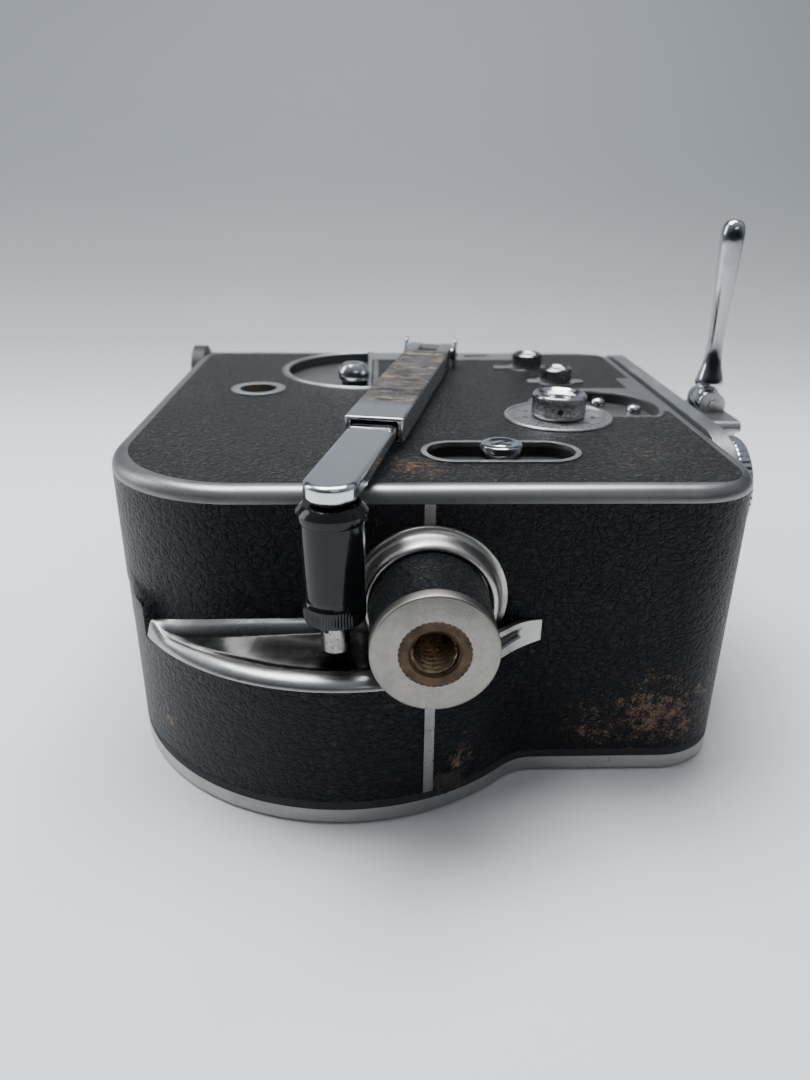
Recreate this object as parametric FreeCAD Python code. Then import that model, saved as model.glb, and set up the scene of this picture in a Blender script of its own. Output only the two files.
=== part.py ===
import FreeCAD, Part
import math
import os
from FreeCAD import Vector

# Spring wound 16 mm cine camera lying on its film door.  Millimetres.
# Body axes: X to the lens front, Y to the top of the camera, Z to the winding side, Z = 0 on the door face.
# Every solid is moved once, on export, so that the origin is the mouth of the tripod socket.

# ---- whole body ----
HALF_LENGTH = 73.0
MECH_HEIGHT = 141.0
SIDE_Z = 72.4
SPLIT_Z = 42.2
LEATHER = 0.8
WALL = 2.2
CORNER_REAR_LOW = 33.2
CORNER_FRONT_LOW = 16.8
CORNER_FRONT_HIGH = 10.0
CORNER_REAR_HIGH = 9.0

# ---- film half ----
SPOOL_X = -18.4
SPOOL_LOW_Y = 37.6
SPOOL_HIGH_Y = 129.4
LOBE_RADIUS = 54.6
FILM_FRONT_HEIGHT = 167.0
HOLLOW_RADIUS = 12.0
CASE_START_Z = 5.9
DOOR_RIM_Z = 4.2
ROOF_UNDER_Z = 38.2
SHELF_EDGE_Z = 34.7
SHELF_CREST_Z = 36.4
SHELF_BACK_Z = 39.2
SHELF_SLOPE = 0.26
SHELF_ROLL = 3.2
SHELF_CAVITY_Z = 31.0
SHELF_END_X = 25.5
SHELF_TIP_X = -64.0
SHELF_TIP_SLOPE = 0.57
LEATHER_LOW_Z = 6.3
LEATHER_TOP_Z = 69.1

# ---- side cover ----
COVER_THICK = 5.0
BEAD_RADIUS = 3.1
PANEL_INSET = 3.9
PANEL_CORNER = 9.0

# ---- tripod boss ----
BOSS_Z = 47.8
BOSS_REACH = 23.8
BOSS_RADIUS = 12.7
BOSS_FLANGE = 2.7
INSERT_RADIUS = 7.05
SOCKET_RADIUS = 4.76
SOCKET_DEPTH = 12.0
COLLAR_RADIUS = 15.1
COLLAR_REACH = 4.0
STRIP_WIDTH = 2.2

# ---- crank ----
HUB_X = 7.0
HUB_Y = 116.0
CRANK_ANGLE = -101.9
CRANK_REACH = 129.0
CRANK_PIN_Z = SIDE_Z + 4.6
SLEEVE_LENGTH = 90.4
SLEEVE_WIDTH = 14.0
SLEEVE_LOW_Z = SIDE_Z + 1.3
SLEEVE_HIGH_Z = SIDE_Z + 7.4
SLIDE_WIDTH = 11.0
SLIDE_LOW_Z = SIDE_Z + 2.2
SLIDE_HIGH_Z = SIDE_Z + 6.0
SLIDE_HIDDEN = 38.0
FORK_END = 3.3
FORK_WINDOW = 10.0
FORK_GAP = 6.0
KNOB_HIGH_Z = 73.6
KNOB_LOW_Z = 48.6
SPINDLE_LOW_Z = 41.3
SPINDLE_RADIUS = 2.95

# ---- side controls ----
DIAL = (37.2, 54.5)
DIAL_RING_RADIUS = 14.3
DIAL_KNOB_RADIUS = 7.1
DIAL_KNOB_HEIGHT = 6.5
SLOT = (17.8, 24.4)
SLOT_LENGTH = 37.2
SLOT_WIDTH = 16.0
SLOT_BORDER = 1.3
EXPOSURE = (44.6, 95.0)
COUNTER_RESET = (39.0, 115.0)
CLUTCH = (-14.0, 113.0)
CLUTCH_RECESS_RADIUS = 26.3
CLUTCH_RECESS_EDGE_X = -12.0
CLUTCH_LEVER = (-18.0, 97.0)
BUSH = (-46.0, 85.0)
BUSH_OUTER_RADIUS = 8.0
BUSH_BORE_RADIUS = 5.3
GEAR_RECESS = (50.0, 66.0)
GEAR_RECESS_RADIUS = 17.4
GEAR_RECESS_LOW_Y = 56.0
RECESS_DEPTH = 3.2
COUNTER_PLATE = (-13.0, 37.0, 127.0, 137.6)

# ---- front and turret ----
FRONT_FACE_X = 77.5
TURRET_Y = 68.0
TURRET_Z = 44.0
PORT_CIRCLE = 22.0
PORT_RADIUS = 12.7
LOBE_R = 14.4
TURRET_BACK_X = 78.0
TURRET_FRONT_X = 81.0
PORT_ANGLES = (-90.0, 30.0, 150.0)
LEVER_X = 83.0
LEVER_Y = 70.5
LEVER_PIVOT_Z = 73.0
LEVER_TIP_Z = 121.0
LAND_LOW_Y = 54.0
LAND_HIGH_Y = 80.0
LAND_LOW_Z = 62.0
LAND_HIGH_Z = 71.0
LAND_FRONT_X = 87.0
LIGHT_HOLE = 9.0
TUBE = (150.5, 62.0)

# ---- handle and door ----
STRAP_CENTRE = (-19.0, 134.5)
STRAP_OUTER = 58.5
STRAP_INNER = 55.6
STRAP_LOW_Z = 16.0
STRAP_HIGH_Z = 32.0
STRAP_ENDS_Y = 168.4
LUG_PLACES = (-63.2, 25.2)
DOOR_EDGE = 3.3
DOOR_LIP = 1.4
LOCKS = ((40.0, 16.0), (40.0, 151.0))
LOCK_RADIUS = 9.0

# ---- clockwork ----
RUNNING = 0.05
SPRING_CENTRE = (-14.0, 70.18)
BARREL_RADIUS = 37.0
MOTOR_MODULE = 0.9
WIND_TEETH = 28
ARBOR_TEETH = 84
BARREL_MODULE = 0.8
BARREL_TEETH = 96
TRAIN_MODULE = 0.6
PINION_TEETH = 12
WHEEL_TEETH = 72
SPROCKET_TEETH = 60
IDLER_TEETH = 48
SPROCKET_X = 32.9
APERTURE = (68.0, 22.0)
SHUTTER_RADIUS = 29.0
SHUTTER_Z = 37.0


def save(name, *solids):
    """Write one node, moved so the socket mouth is the origin."""
    shape = solids[0] if len(solids) == 1 else Part.makeCompound(list(solids))
    shape = shape.copy()
    shape.translate(Vector(0, BOSS_REACH, -BOSS_Z))
    shape.exportStep("parts/" + name + ".step")


def box(x0, x1, y0, y1, z0, z1):
    return Part.makeBox(x1 - x0, y1 - y0, z1 - z0, Vector(x0, y0, z0))


def disc(radius, centre, z0, z1):
    return Part.makeCylinder(radius, z1 - z0, Vector(centre[0], centre[1], z0))


def rod_x(radius, x0, x1, y, z):
    return Part.makeCylinder(radius, x1 - x0, Vector(x0, y, z), Vector(1, 0, 0))


def rod_y(radius, y0, y1, x, z):
    return Part.makeCylinder(radius, y1 - y0, Vector(x, y0, z), Vector(0, 1, 0))


def rounded_prism(corners, z0, z1):
    """Upright prism on an outline of (x, y, corner radius) points."""
    arcs = []
    for index, (x, y, radius) in enumerate(corners):
        here = Vector(x, y, 0)
        before = corners[index - 1]
        after = corners[(index + 1) % len(corners)]
        back = (Vector(before[0], before[1], 0) - here).normalize()
        ahead = (Vector(after[0], after[1], 0) - here).normalize()
        half = back.getAngle(ahead) / 2
        run = radius / math.tan(half)
        middle = (back + ahead).normalize() * (radius / math.sin(half) - radius)
        arcs.append((here + back * run, here + middle, here + ahead * run))
    edges = []
    for index, (start, middle, finish) in enumerate(arcs):
        edges.append(Part.Arc(start, middle, finish).toShape())
        following = arcs[(index + 1) % len(arcs)][0]
        if finish.distanceToPoint(following) > 1e-6:
            edges.append(Part.makeLine(finish, following))
    face = Part.Face(Part.Wire(edges))
    face.translate(Vector(0, 0, z0))
    return face.extrude(Vector(0, 0, z1 - z0))


def block_rounded(x0, x1, y0, y1, radius, z0, z1):
    return rounded_prism([(x0, y0, radius), (x1, y0, radius), (x1, y1, radius), (x0, y1, radius)], z0, z1)


def obround(centre, length, width, z0, z1):
    x, y = centre
    side = length / 2
    half = width / 2
    return block_rounded(x - side, x + side, y - half, y + half, half - 0.01, z0, z1)


def mech_prism(inset, z0, z1):
    left = -HALF_LENGTH + inset
    right = HALF_LENGTH - inset
    top = MECH_HEIGHT - inset
    return rounded_prism([(left, inset, CORNER_REAR_LOW - inset), (right, inset, CORNER_FRONT_LOW - inset),
                          (right, top, CORNER_FRONT_HIGH - inset), (left, top, CORNER_REAR_HIGH - inset)], z0, z1)


def film_prism(inset, z0, z1):
    """Two spool lobes at the back joined to a square front."""
    radius = LOBE_RADIUS - inset
    low = disc(radius, (SPOOL_X, SPOOL_LOW_Y), z0, z1)
    high = disc(radius, (SPOOL_X, SPOOL_HIGH_Y), z0, z1)
    back = box(-HALF_LENGTH + inset, SPOOL_X + 1, SPOOL_LOW_Y, SPOOL_HIGH_Y, z0, z1)
    front = rounded_prism([(SPOOL_X, inset, 1), (HALF_LENGTH - inset, inset, CORNER_FRONT_LOW - inset),
                           (HALF_LENGTH - inset, FILM_FRONT_HEIGHT - inset, CORNER_FRONT_LOW - inset),
                           (SPOOL_X, FILM_FRONT_HEIGHT - inset, 1)], z0, z1)
    body = low.fuse([high, back, front]).removeSplitter()
    hollows = []
    for edge in body.Edges:
        middle = edge.BoundBox.Center
        upright = edge.BoundBox.XLength < 0.01 and edge.BoundBox.YLength < 0.01
        if upright and 5 < middle.x < 30:
            hollows.append(edge)
    return body.makeFillet(HOLLOW_RADIUS + inset, hollows)


def gear(centre, teeth, module, z0, z1, phase):
    """Spur gear; one tooth points along the phase angle in degrees."""
    points = []
    pitch = teeth * module / 2
    root = pitch - 1.15 * module
    tip = pitch + 0.8 * module
    step = 2 * math.pi / teeth
    for index in range(teeth):
        middle = math.radians(phase) + index * step
        for radius, offset in ((root, -0.30), (tip, -0.10), (tip, 0.10), (root, 0.30)):
            angle = middle + offset * step
            x = centre[0] + radius * math.cos(angle)
            y = centre[1] + radius * math.sin(angle)
            points.append(Vector(x, y, z0))
    points.append(points[0])
    return Part.Face(Part.makePolygon(points)).extrude(Vector(0, 0, z1 - z0))


def along(centre, angle, distance):
    turn = math.radians(angle)
    return (centre[0] + distance * math.cos(turn), centre[1] + distance * math.sin(turn))


def crank_place(shape):
    """From a crank drawn along +X at the origin to its folded place on the side."""
    shape.rotate(Vector(0, 0, 0), Vector(0, 0, 1), CRANK_ANGLE)
    shape.translate(Vector(HUB_X, HUB_Y, 0))
    return shape


# ---------------- castings ----------------

def shelf_solid():
    """Ledge over the lower spool lobe: falls away from the body, then rolls over its outer edge."""
    outer = LOBE_RADIUS - LEATHER
    roll_in = outer - SHELF_ROLL
    under = SHELF_EDGE_Z - 1
    inner = roll_in - (SHELF_BACK_Z - SHELF_CREST_Z) / SHELF_SLOPE
    swell = Vector(outer - 0.9, 0, SHELF_EDGE_Z + (SHELF_CREST_Z - SHELF_EDGE_Z) * 0.66)
    corners = [Vector(20, 0, under), Vector(outer, 0, under), Vector(outer, 0, SHELF_EDGE_Z)]
    crest = Vector(roll_in, 0, SHELF_CREST_Z)
    brow = Vector(inner, 0, SHELF_BACK_Z)
    back = Vector(20, 0, SHELF_BACK_Z)
    lines = [Part.makeLine(corners[0], corners[1]), Part.makeLine(corners[1], corners[2]),
             Part.Arc(corners[2], swell, crest).toShape(), Part.makeLine(crest, brow),
             Part.makeLine(brow, back), Part.makeLine(back, corners[0])]
    ring = Part.Face(Part.Wire(lines)).revolve(Vector(0, 0, 0), Vector(0, 0, 1), 360)
    ring.translate(Vector(SPOOL_X, SPOOL_LOW_Y, 0))
    return ring


def shelf_step():
    """The space above the lower lobe that the narrower mechanism half leaves open."""
    step = box(SHELF_TIP_X, SHELF_END_X, -40, 12, SHELF_EDGE_Z, SPLIT_Z + 1)
    return step.cut(mech_prism(LEATHER, SHELF_EDGE_Z - 1, SPLIT_Z + 2))


def shelf_ledge():
    ledge = shelf_solid().common(shelf_step())
    ledge = ledge.common(film_prism(LEATHER, SHELF_EDGE_Z - 2, SPLIT_Z))
    fall = SHELF_SLOPE * 30
    drop = SHELF_TIP_SLOPE * 30
    corners = [Vector(-80, -30, SHELF_BACK_Z - fall), Vector(-80, 0, SHELF_BACK_Z),
               Vector(-80, 30, SHELF_BACK_Z - drop), Vector(-80, 30, 80), Vector(-80, -30, 80)]
    corners.append(corners[0])
    above = Part.Face(Part.makePolygon(corners)).extrude(Vector(120, 0, 0))
    return ledge.cut(above)


def film_casing():
    body = film_prism(LEATHER, CASE_START_Z, SPLIT_Z).cut(shelf_step())
    body = body.fuse(shelf_ledge()).cut(rod_y(BOSS_RADIUS, -30, LEATHER, 0, BOSS_Z))
    cavity = film_prism(LEATHER + WALL, CASE_START_Z - 1, ROOF_UNDER_Z)
    under_shelf = box(SHELF_TIP_X - 5, SHELF_END_X + 5, -40, 12, SHELF_CAVITY_Z, ROOF_UNDER_Z + 1)
    under_shelf = under_shelf.cut(mech_prism(LEATHER + WALL, SHELF_CAVITY_Z - 1, ROOF_UNDER_Z + 2))
    body = body.cut(cavity.cut(under_shelf))
    shutter_room = box(46, 70, 58, 120, ROOF_UNDER_Z - 1, SPLIT_Z + 1)
    body = body.cut(shutter_room)
    body = body.cut(rod_x(LIGHT_HOLE, 60, 80, *APERTURE))
    for hole in ((SPROCKET_X, 100.05), (SPROCKET_X, 35.25), (51.6, 89.25)):
        body = body.cut(disc(1.5 + RUNNING, hole, ROOF_UNDER_Z - 1, SPLIT_Z + 1))
    for y in (SPOOL_LOW_Y, SPOOL_HIGH_Y):
        body = body.cut(disc(2.5 + RUNNING, (SPOOL_X, y), ROOF_UNDER_Z - 1, SPLIT_Z + 1))
    return body


def mechanism_casing():
    shell = mech_prism(LEATHER, SPLIT_Z, LEATHER_TOP_Z)
    return shell.cut(mech_prism(LEATHER + WALL, SPLIT_Z - 1, SIDE_Z))


def clutch_recess(grow, z0, z1):
    x, y = CLUTCH
    half = disc(CLUTCH_RECESS_RADIUS + grow, CLUTCH, z0, z1)
    return half.common(box(x - 40, CLUTCH_RECESS_EDGE_X + grow, y - 40, y + 40, z0, z1))


def gear_recess(grow, z0, z1):
    round_part = disc(GEAR_RECESS_RADIUS + grow, GEAR_RECESS, z0, z1)
    return round_part.common(box(20, 80, GEAR_RECESS_LOW_Y - grow, 100, z0, z1))


def trim_cutouts(z0, z1):
    """Round and oblong openings in the side leather where metal trim is let in."""
    x0, x1, y0, y1 = COUNTER_PLATE
    cuts = [disc(BUSH_OUTER_RADIUS, BUSH, z0, z1), obround(SLOT, SLOT_LENGTH, SLOT_WIDTH, z0, z1),
            disc(DIAL_RING_RADIUS, DIAL, z0, z1), box(x0, x1, y0, y1, z0, z1)]
    for centre in ((HUB_X, HUB_Y), EXPOSURE, COUNTER_RESET):
        cuts.append(disc(6.0, centre, z0, z1))
    return cuts


def side_cover():
    cover = mech_prism(0, LEATHER_TOP_Z, SIDE_Z)
    rim = [edge for edge in cover.Edges if edge.BoundBox.ZMin > SIDE_Z - 0.01]
    cover = cover.makeFillet(BEAD_RADIUS, rim)
    cover = cover.fuse(mech_prism(LEATHER + WALL + RUNNING, SIDE_Z - COVER_THICK, LEATHER_TOP_Z))
    cover = cover.cut(trim_cutouts(SIDE_Z - LEATHER, SIDE_Z + 1))
    cover = cover.cut(side_leather_outline(SIDE_Z - LEATHER, SIDE_Z + 1))
    floor = SIDE_Z - RECESS_DEPTH
    cover = cover.cut(clutch_recess(0, floor, SIDE_Z + 1))
    cover = cover.cut(gear_recess(0, floor, SIDE_Z + 1))
    border = 2 * SLOT_BORDER
    cover = cover.cut(obround(SLOT, SLOT_LENGTH - border, SLOT_WIDTH - border, floor, SIDE_Z + 1))
    cover = cover.cut(obround(SLOT, 27.4, 5.0, floor - 5, SIDE_Z))
    cover = cover.cut(disc(6.5, BUSH, floor - 5, SIDE_Z + 1))
    cover = cover.cut(disc(4.0 + RUNNING, (HUB_X, HUB_Y), floor - 5, SIDE_Z + 1))
    for centre in (DIAL, EXPOSURE, COUNTER_RESET):
        cover = cover.cut(disc(2.0 + RUNNING, centre, floor - 0.8, SIDE_Z + 1))
    cover = cover.cut(disc(1.5 + RUNNING, CLUTCH, floor - 1.2, SIDE_Z))
    return cover


def side_leather_outline(z0, z1):
    edge = HALF_LENGTH - PANEL_INSET
    top = MECH_HEIGHT - PANEL_INSET
    panel = rounded_prism([(-edge, PANEL_INSET, CORNER_REAR_LOW - PANEL_INSET),
                           (edge, PANEL_INSET, PANEL_CORNER),
                           (edge, top, 3), (-edge, top, 5)], z0, z1)
    panel = panel.cut(gear_recess(1.2, z0, z1))
    panel = panel.cut(box(64.8, 80, 60.5, 100, z0, z1))
    panel = panel.cut(box(50, 80, 62, 86.5, z0, z1))
    panel = panel.cut(clutch_recess(1.6, z0, z1))
    return panel.cut(trim_cutouts(z0, z1))


def front_plate():
    outline = [(26, 6.4, 12), (142, 6.4, 6), (142, SIDE_Z, 6), (26, SIDE_Z, 19)]
    plate = rounded_prism(outline, 0, FRONT_FACE_X - HALF_LENGTH + LEATHER)
    plate.rotate(Vector(0, 0, 0), Vector(1, 1, 1), 120)
    plate.translate(Vector(HALF_LENGTH - LEATHER, 0, 0))
    plate = plate.cut(mech_prism(0, LEATHER_TOP_Z, SIDE_Z + 1))
    plate = plate.cut(rod_x(LIGHT_HOLE, 60, 80, *APERTURE))
    plate = plate.cut(rod_x(3.0 + RUNNING, 60, 80, TURRET_Y, TURRET_Z))
    return plate.cut(rod_x(4.0 + RUNNING, 74.5, 80, 118, 30))


def castings():
    save("film_casing", film_casing())
    save("mechanism_casing", mechanism_casing())
    save("side_cover", side_cover())
    save("front_plate", front_plate())


# ---------------- leather ----------------

def leathers():
    front_cut = box(HALF_LENGTH - 5, 80, 26, 142, 0, SIDE_Z)
    strip = box(-STRIP_WIDTH / 2, STRIP_WIDTH / 2, -20, 5, 0, SIDE_Z)
    collar = rod_y(COLLAR_RADIUS, -20, 5, 1.0, BOSS_Z - 1.8)
    boss = rod_y(BOSS_RADIUS, -20, 5, 0, BOSS_Z)
    holes = [front_cut, strip, collar, boss]
    mech = mech_prism(0, SPLIT_Z, LEATHER_TOP_Z).cut(mech_prism(LEATHER, SPLIT_Z, LEATHER_TOP_Z))
    corner = mech_prism(0, SHELF_EDGE_Z, SPLIT_Z).cut(mech_prism(LEATHER, SHELF_EDGE_Z, SPLIT_Z))
    corner = corner.common(box(SHELF_TIP_X, SHELF_END_X, -1, 12, SHELF_EDGE_Z, SPLIT_Z)).cut(shelf_ledge())
    corner = corner.common(box(SHELF_TIP_X, -20, -1, 12, SHELF_EDGE_Z, SPLIT_Z))
    save("mechanism_leather", mech.fuse(corner).cut(holes))
    film = film_prism(0, LEATHER_LOW_Z, SPLIT_Z).cut(film_prism(LEATHER, LEATHER_LOW_Z, SPLIT_Z))
    film = film.cut(box(SHELF_TIP_X, SHELF_END_X, -40, 12, SHELF_EDGE_Z, SPLIT_Z + 1))
    save("film_leather", film.cut(holes))
    save("side_leather", side_leather_outline(SIDE_Z - LEATHER, SIDE_Z))
    band = rod_y(BOSS_RADIUS, -BOSS_REACH + BOSS_FLANGE, 0, 0, BOSS_Z)
    band = band.cut(rod_y(BOSS_RADIUS - LEATHER, -30, 1, 0, BOSS_Z))
    save("boss_leather", band.cut(box(-20, 20, -COLLAR_REACH, 1, 20, 80)))
    save("door_leather", film_prism(DOOR_EDGE + 0.1, 0.1, 0.8).cut(door_lock_cuts(0, 1)))


# ---------------- tripod boss and trim ----------------

def boss_parts():
    foot = rod_y(BOSS_RADIUS, -BOSS_REACH, -BOSS_REACH + BOSS_FLANGE, 0, BOSS_Z)
    foot = foot.fuse(rod_y(BOSS_RADIUS - LEATHER, -BOSS_REACH, LEATHER, 0, BOSS_Z))
    foot = foot.cut(rod_y(INSERT_RADIUS, -30, -8, 0, BOSS_Z))
    save("tripod_boss", foot)
    insert = rod_y(INSERT_RADIUS, -BOSS_REACH, -8, 0, BOSS_Z)
    save("tripod_insert", insert.cut(rod_y(SOCKET_RADIUS, -30, -BOSS_REACH + SOCKET_DEPTH, 0, BOSS_Z)))
    collar = rod_y(COLLAR_RADIUS, -COLLAR_REACH, LEATHER, 1.0, BOSS_Z - 1.8)
    collar = collar.cut(rod_y(BOSS_RADIUS, -10, 5, 0, BOSS_Z))
    collar = collar.common(box(-30, 30, -30, LEATHER, SPLIT_Z, 80))
    save("boss_collar", collar)
    low = film_prism(-0.15, LEATHER_LOW_Z, SHELF_EDGE_Z)
    low = low.cut(film_prism(LEATHER, LEATHER_LOW_Z, SHELF_EDGE_Z))
    low = low.common(box(-STRIP_WIDTH / 2, STRIP_WIDTH / 2, -30, 5, 0, SHELF_EDGE_Z))
    high_start = BOSS_Z - 1.8 + COLLAR_RADIUS
    high = box(-STRIP_WIDTH / 2, STRIP_WIDTH / 2, -0.15, LEATHER, high_start, LEATHER_TOP_Z)
    save("seam_strip", low.cut(rod_y(BOSS_RADIUS, -40, 5, 0, BOSS_Z)), high)


# ---------------- crank ----------------

def crank_parts():
    tongue = box(-2.9, 2.9, -FORK_GAP / 2 + 0.1, FORK_GAP / 2 - 0.1, SIDE_Z, CRANK_PIN_Z)
    eye = rod_y(2.9, -FORK_GAP / 2 + 0.1, FORK_GAP / 2 - 0.1, 0, CRANK_PIN_Z)
    hub = disc(6.0, (0, 0), SIDE_Z - LEATHER, SIDE_Z + 1.0)
    hub = hub.fuse([tongue, eye, disc(4.0, (0, 0), 68.0, SIDE_Z)])
    save("crank_hub", crank_place(hub.cut(rod_y(1.5, -10, 10, 0, CRANK_PIN_Z))))
    half = SLEEVE_WIDTH / 2
    save("crank_hinge_pin", crank_place(rod_y(1.5, -half - 0.4, half + 0.4, 0, CRANK_PIN_Z)))
    sleeve = box(0, SLEEVE_LENGTH, -half, half, SLEEVE_LOW_Z, SLEEVE_HIGH_Z)
    sleeve = sleeve.fuse(rod_y(FORK_END, -half, half, 0, CRANK_PIN_Z))
    sleeve = sleeve.cut(box(-5, FORK_WINDOW, -FORK_GAP / 2, FORK_GAP / 2, SIDE_Z, SIDE_Z + 10))
    hollow = box(FORK_WINDOW + 6, SLEEVE_LENGTH + 1, -SLIDE_WIDTH / 2 - RUNNING, SLIDE_WIDTH / 2 + RUNNING,
                 SLIDE_LOW_Z - RUNNING, SLIDE_HIGH_Z + RUNNING)
    sleeve = sleeve.cut(hollow).cut(rod_y(1.5 + RUNNING, -10, 10, 0, CRANK_PIN_Z))
    save("crank_sleeve", crank_place(sleeve))
    start = SLEEVE_LENGTH - SLIDE_HIDDEN
    slide = box(start, CRANK_REACH, -SLIDE_WIDTH / 2, SLIDE_WIDTH / 2, SLIDE_LOW_Z, SLIDE_HIGH_Z)
    slide = slide.fuse(disc(SLIDE_WIDTH / 2, (CRANK_REACH, 0), SLIDE_LOW_Z, SLIDE_HIGH_Z))
    slide = slide.fuse(disc(4.0, (CRANK_REACH, 0), KNOB_HIGH_Z + 0.3, SLIDE_LOW_Z))
    slide = slide.cut(disc(1.6, (CRANK_REACH, 0), 60, SLIDE_HIGH_Z - 1.2))
    save("crank_slide", crank_place(slide))
    spindle = disc(1.6, (CRANK_REACH, 0), KNOB_LOW_Z - 1.5, SLIDE_HIGH_Z - 1.2)
    spindle = spindle.fuse(disc(SPINDLE_RADIUS, (CRANK_REACH, 0), SPINDLE_LOW_Z, KNOB_LOW_Z - 0.1))
    save("crank_spindle", crank_place(spindle))
    lower = Part.makeCone(6.15, 6.6, 17.0, Vector(CRANK_REACH, 0, 53.4))
    knob = lower.fuse([disc(6.45, (CRANK_REACH, 0), KNOB_LOW_Z, 53.4), disc(7.1, (CRANK_REACH, 0), 70.4, 72.2),
                       Part.makeCone(7.1, 5.9, KNOB_HIGH_Z - 72.2, Vector(CRANK_REACH, 0, 72.2))])
    save("crank_knob", crank_place(knob.cut(disc(1.6 + RUNNING, (CRANK_REACH, 0), 40, 80))))


# ---------------- side controls ----------------

def side_controls():
    ring = disc(DIAL_RING_RADIUS, DIAL, SIDE_Z - LEATHER, SIDE_Z + 0.3)
    save("speed_dial_plate", ring.cut(disc(2.0 + RUNNING, DIAL, 60, 80)))
    knob = disc(DIAL_KNOB_RADIUS, DIAL, SIDE_Z + 0.5, SIDE_Z + DIAL_KNOB_HEIGHT)
    knob = knob.cut(Part.makeSphere(16, Vector(DIAL[0], DIAL[1], SIDE_Z + DIAL_KNOB_HEIGHT + 14.6)))
    knob = knob.fuse(disc(2.0, DIAL, SIDE_Z - RECESS_DEPTH, SIDE_Z + 1))
    save("speed_dial_knob", knob.cut(rod_y(0.7, DIAL[1] - 9, DIAL[1], DIAL[0] - 1.2, SIDE_Z + 3)))
    bezel = obround(SLOT, SLOT_LENGTH, SLOT_WIDTH, SIDE_Z - LEATHER, SIDE_Z + 0.35)
    inner = obround(SLOT, SLOT_LENGTH - 2 * SLOT_BORDER, SLOT_WIDTH - 2 * SLOT_BORDER, 60, 80)
    save("release_slot_bezel", bezel.cut(inner))
    button = disc(5.0, SLOT, SIDE_Z - 2.6, SIDE_Z + 2.0)
    button = button.fuse(disc(2.3, SLOT, SIDE_Z - 5.2, SIDE_Z))
    button = button.cut(box(SLOT[0] - 3, SLOT[0] + 3, SLOT[1] - 0.4, SLOT[1] + 0.4, SIDE_Z + 1.5, SIDE_Z + 3))
    save("release_slider", button)
    for name, centre, radius, height in (("exposure_selector", EXPOSURE, 4.8, 4.6),
                                         ("counter_reset_knob", COUNTER_RESET, 4.85, 5.0)):
        top = disc(radius, centre, SIDE_Z + 0.4, SIDE_Z + height)
        top = top.cut(disc(radius - 1.2, centre, SIDE_Z + height - 0.7, SIDE_Z + 9))
        save(name, top.fuse(disc(2.0, centre, SIDE_Z - RECESS_DEPTH, SIDE_Z + 1)))
    plate = disc(6.0, EXPOSURE, SIDE_Z - LEATHER, SIDE_Z + 0.3)
    wings = obround(EXPOSURE, 17.6, 4.4, SIDE_Z + 0.0, SIDE_Z + 0.3)
    exposure_plate = plate.fuse(wings).cut(disc(2.0 + RUNNING, EXPOSURE, 60, 80))
    x, y = COUNTER_RESET
    pointer = disc(6.0, COUNTER_RESET, SIDE_Z - LEATHER, SIDE_Z + 0.3)
    pointer = pointer.fuse(block_rounded(x - 11, x, y - 1.6, y + 1.6, 0.8, SIDE_Z, SIDE_Z + 0.3))
    save("control_plates", exposure_plate, pointer.cut(disc(2.0 + RUNNING, COUNTER_RESET, 60, 80)))
    x0, x1, y0, y1 = COUNTER_PLATE
    plate = block_rounded(x0, x1, y0, y1, 1.0, SIDE_Z - LEATHER, SIDE_Z + 0.2)
    plate = plate.cut(block_rounded(20, 29, 129.5, 135.5, 1.0, SIDE_Z - 0.4, 80))
    save("counter_plate", plate.cut(disc(6.0, (HUB_X, HUB_Y), 60, 80)))
    lever = disc(3.8, CLUTCH_LEVER, SIDE_Z - 2.0, SIDE_Z + 0.6)
    lever = lever.fuse(disc(4.8, CLUTCH_LEVER, SIDE_Z + 0.6, SIDE_Z + 1.6))
    dome = Part.makeSphere(4.8, Vector(CLUTCH_LEVER[0], CLUTCH_LEVER[1], SIDE_Z + 1.6))
    lever = lever.fuse(dome.common(disc(9, CLUTCH_LEVER, SIDE_Z + 1.6, SIDE_Z + 5.2)))
    bar = Part.makeBox(16.5, 4, 1.0, Vector(0, -2, SIDE_Z - 3.0))
    bar.rotate(Vector(0, 0, 0), Vector(0, 0, 1), -104.0)
    bar.translate(Vector(CLUTCH[0], CLUTCH[1], 0))
    arm = disc(1.9, CLUTCH, SIDE_Z - 3.0, SIDE_Z - 2.0).fuse([bar, disc(1.5, CLUTCH, SIDE_Z - 4.2, SIDE_Z - 2)])
    save("clutch_lever", lever.fuse(arm))
    bush = disc(BUSH_OUTER_RADIUS, BUSH, SIDE_Z - LEATHER, SIDE_Z + 0.25)
    bush = bush.fuse(disc(6.5, BUSH, SIDE_Z - COVER_THICK, SIDE_Z))
    save("motor_drive_bush", bush.cut(disc(BUSH_BORE_RADIUS, BUSH, 60, 80)))
    dots = [disc(2.0, centre, SIDE_Z - RECESS_DEPTH, SIDE_Z - 1.6) for centre in ((54.0, 78.0), (62.5, 70.5))]
    save("recess_screws", *dots)


# ---------------- front ----------------

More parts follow.
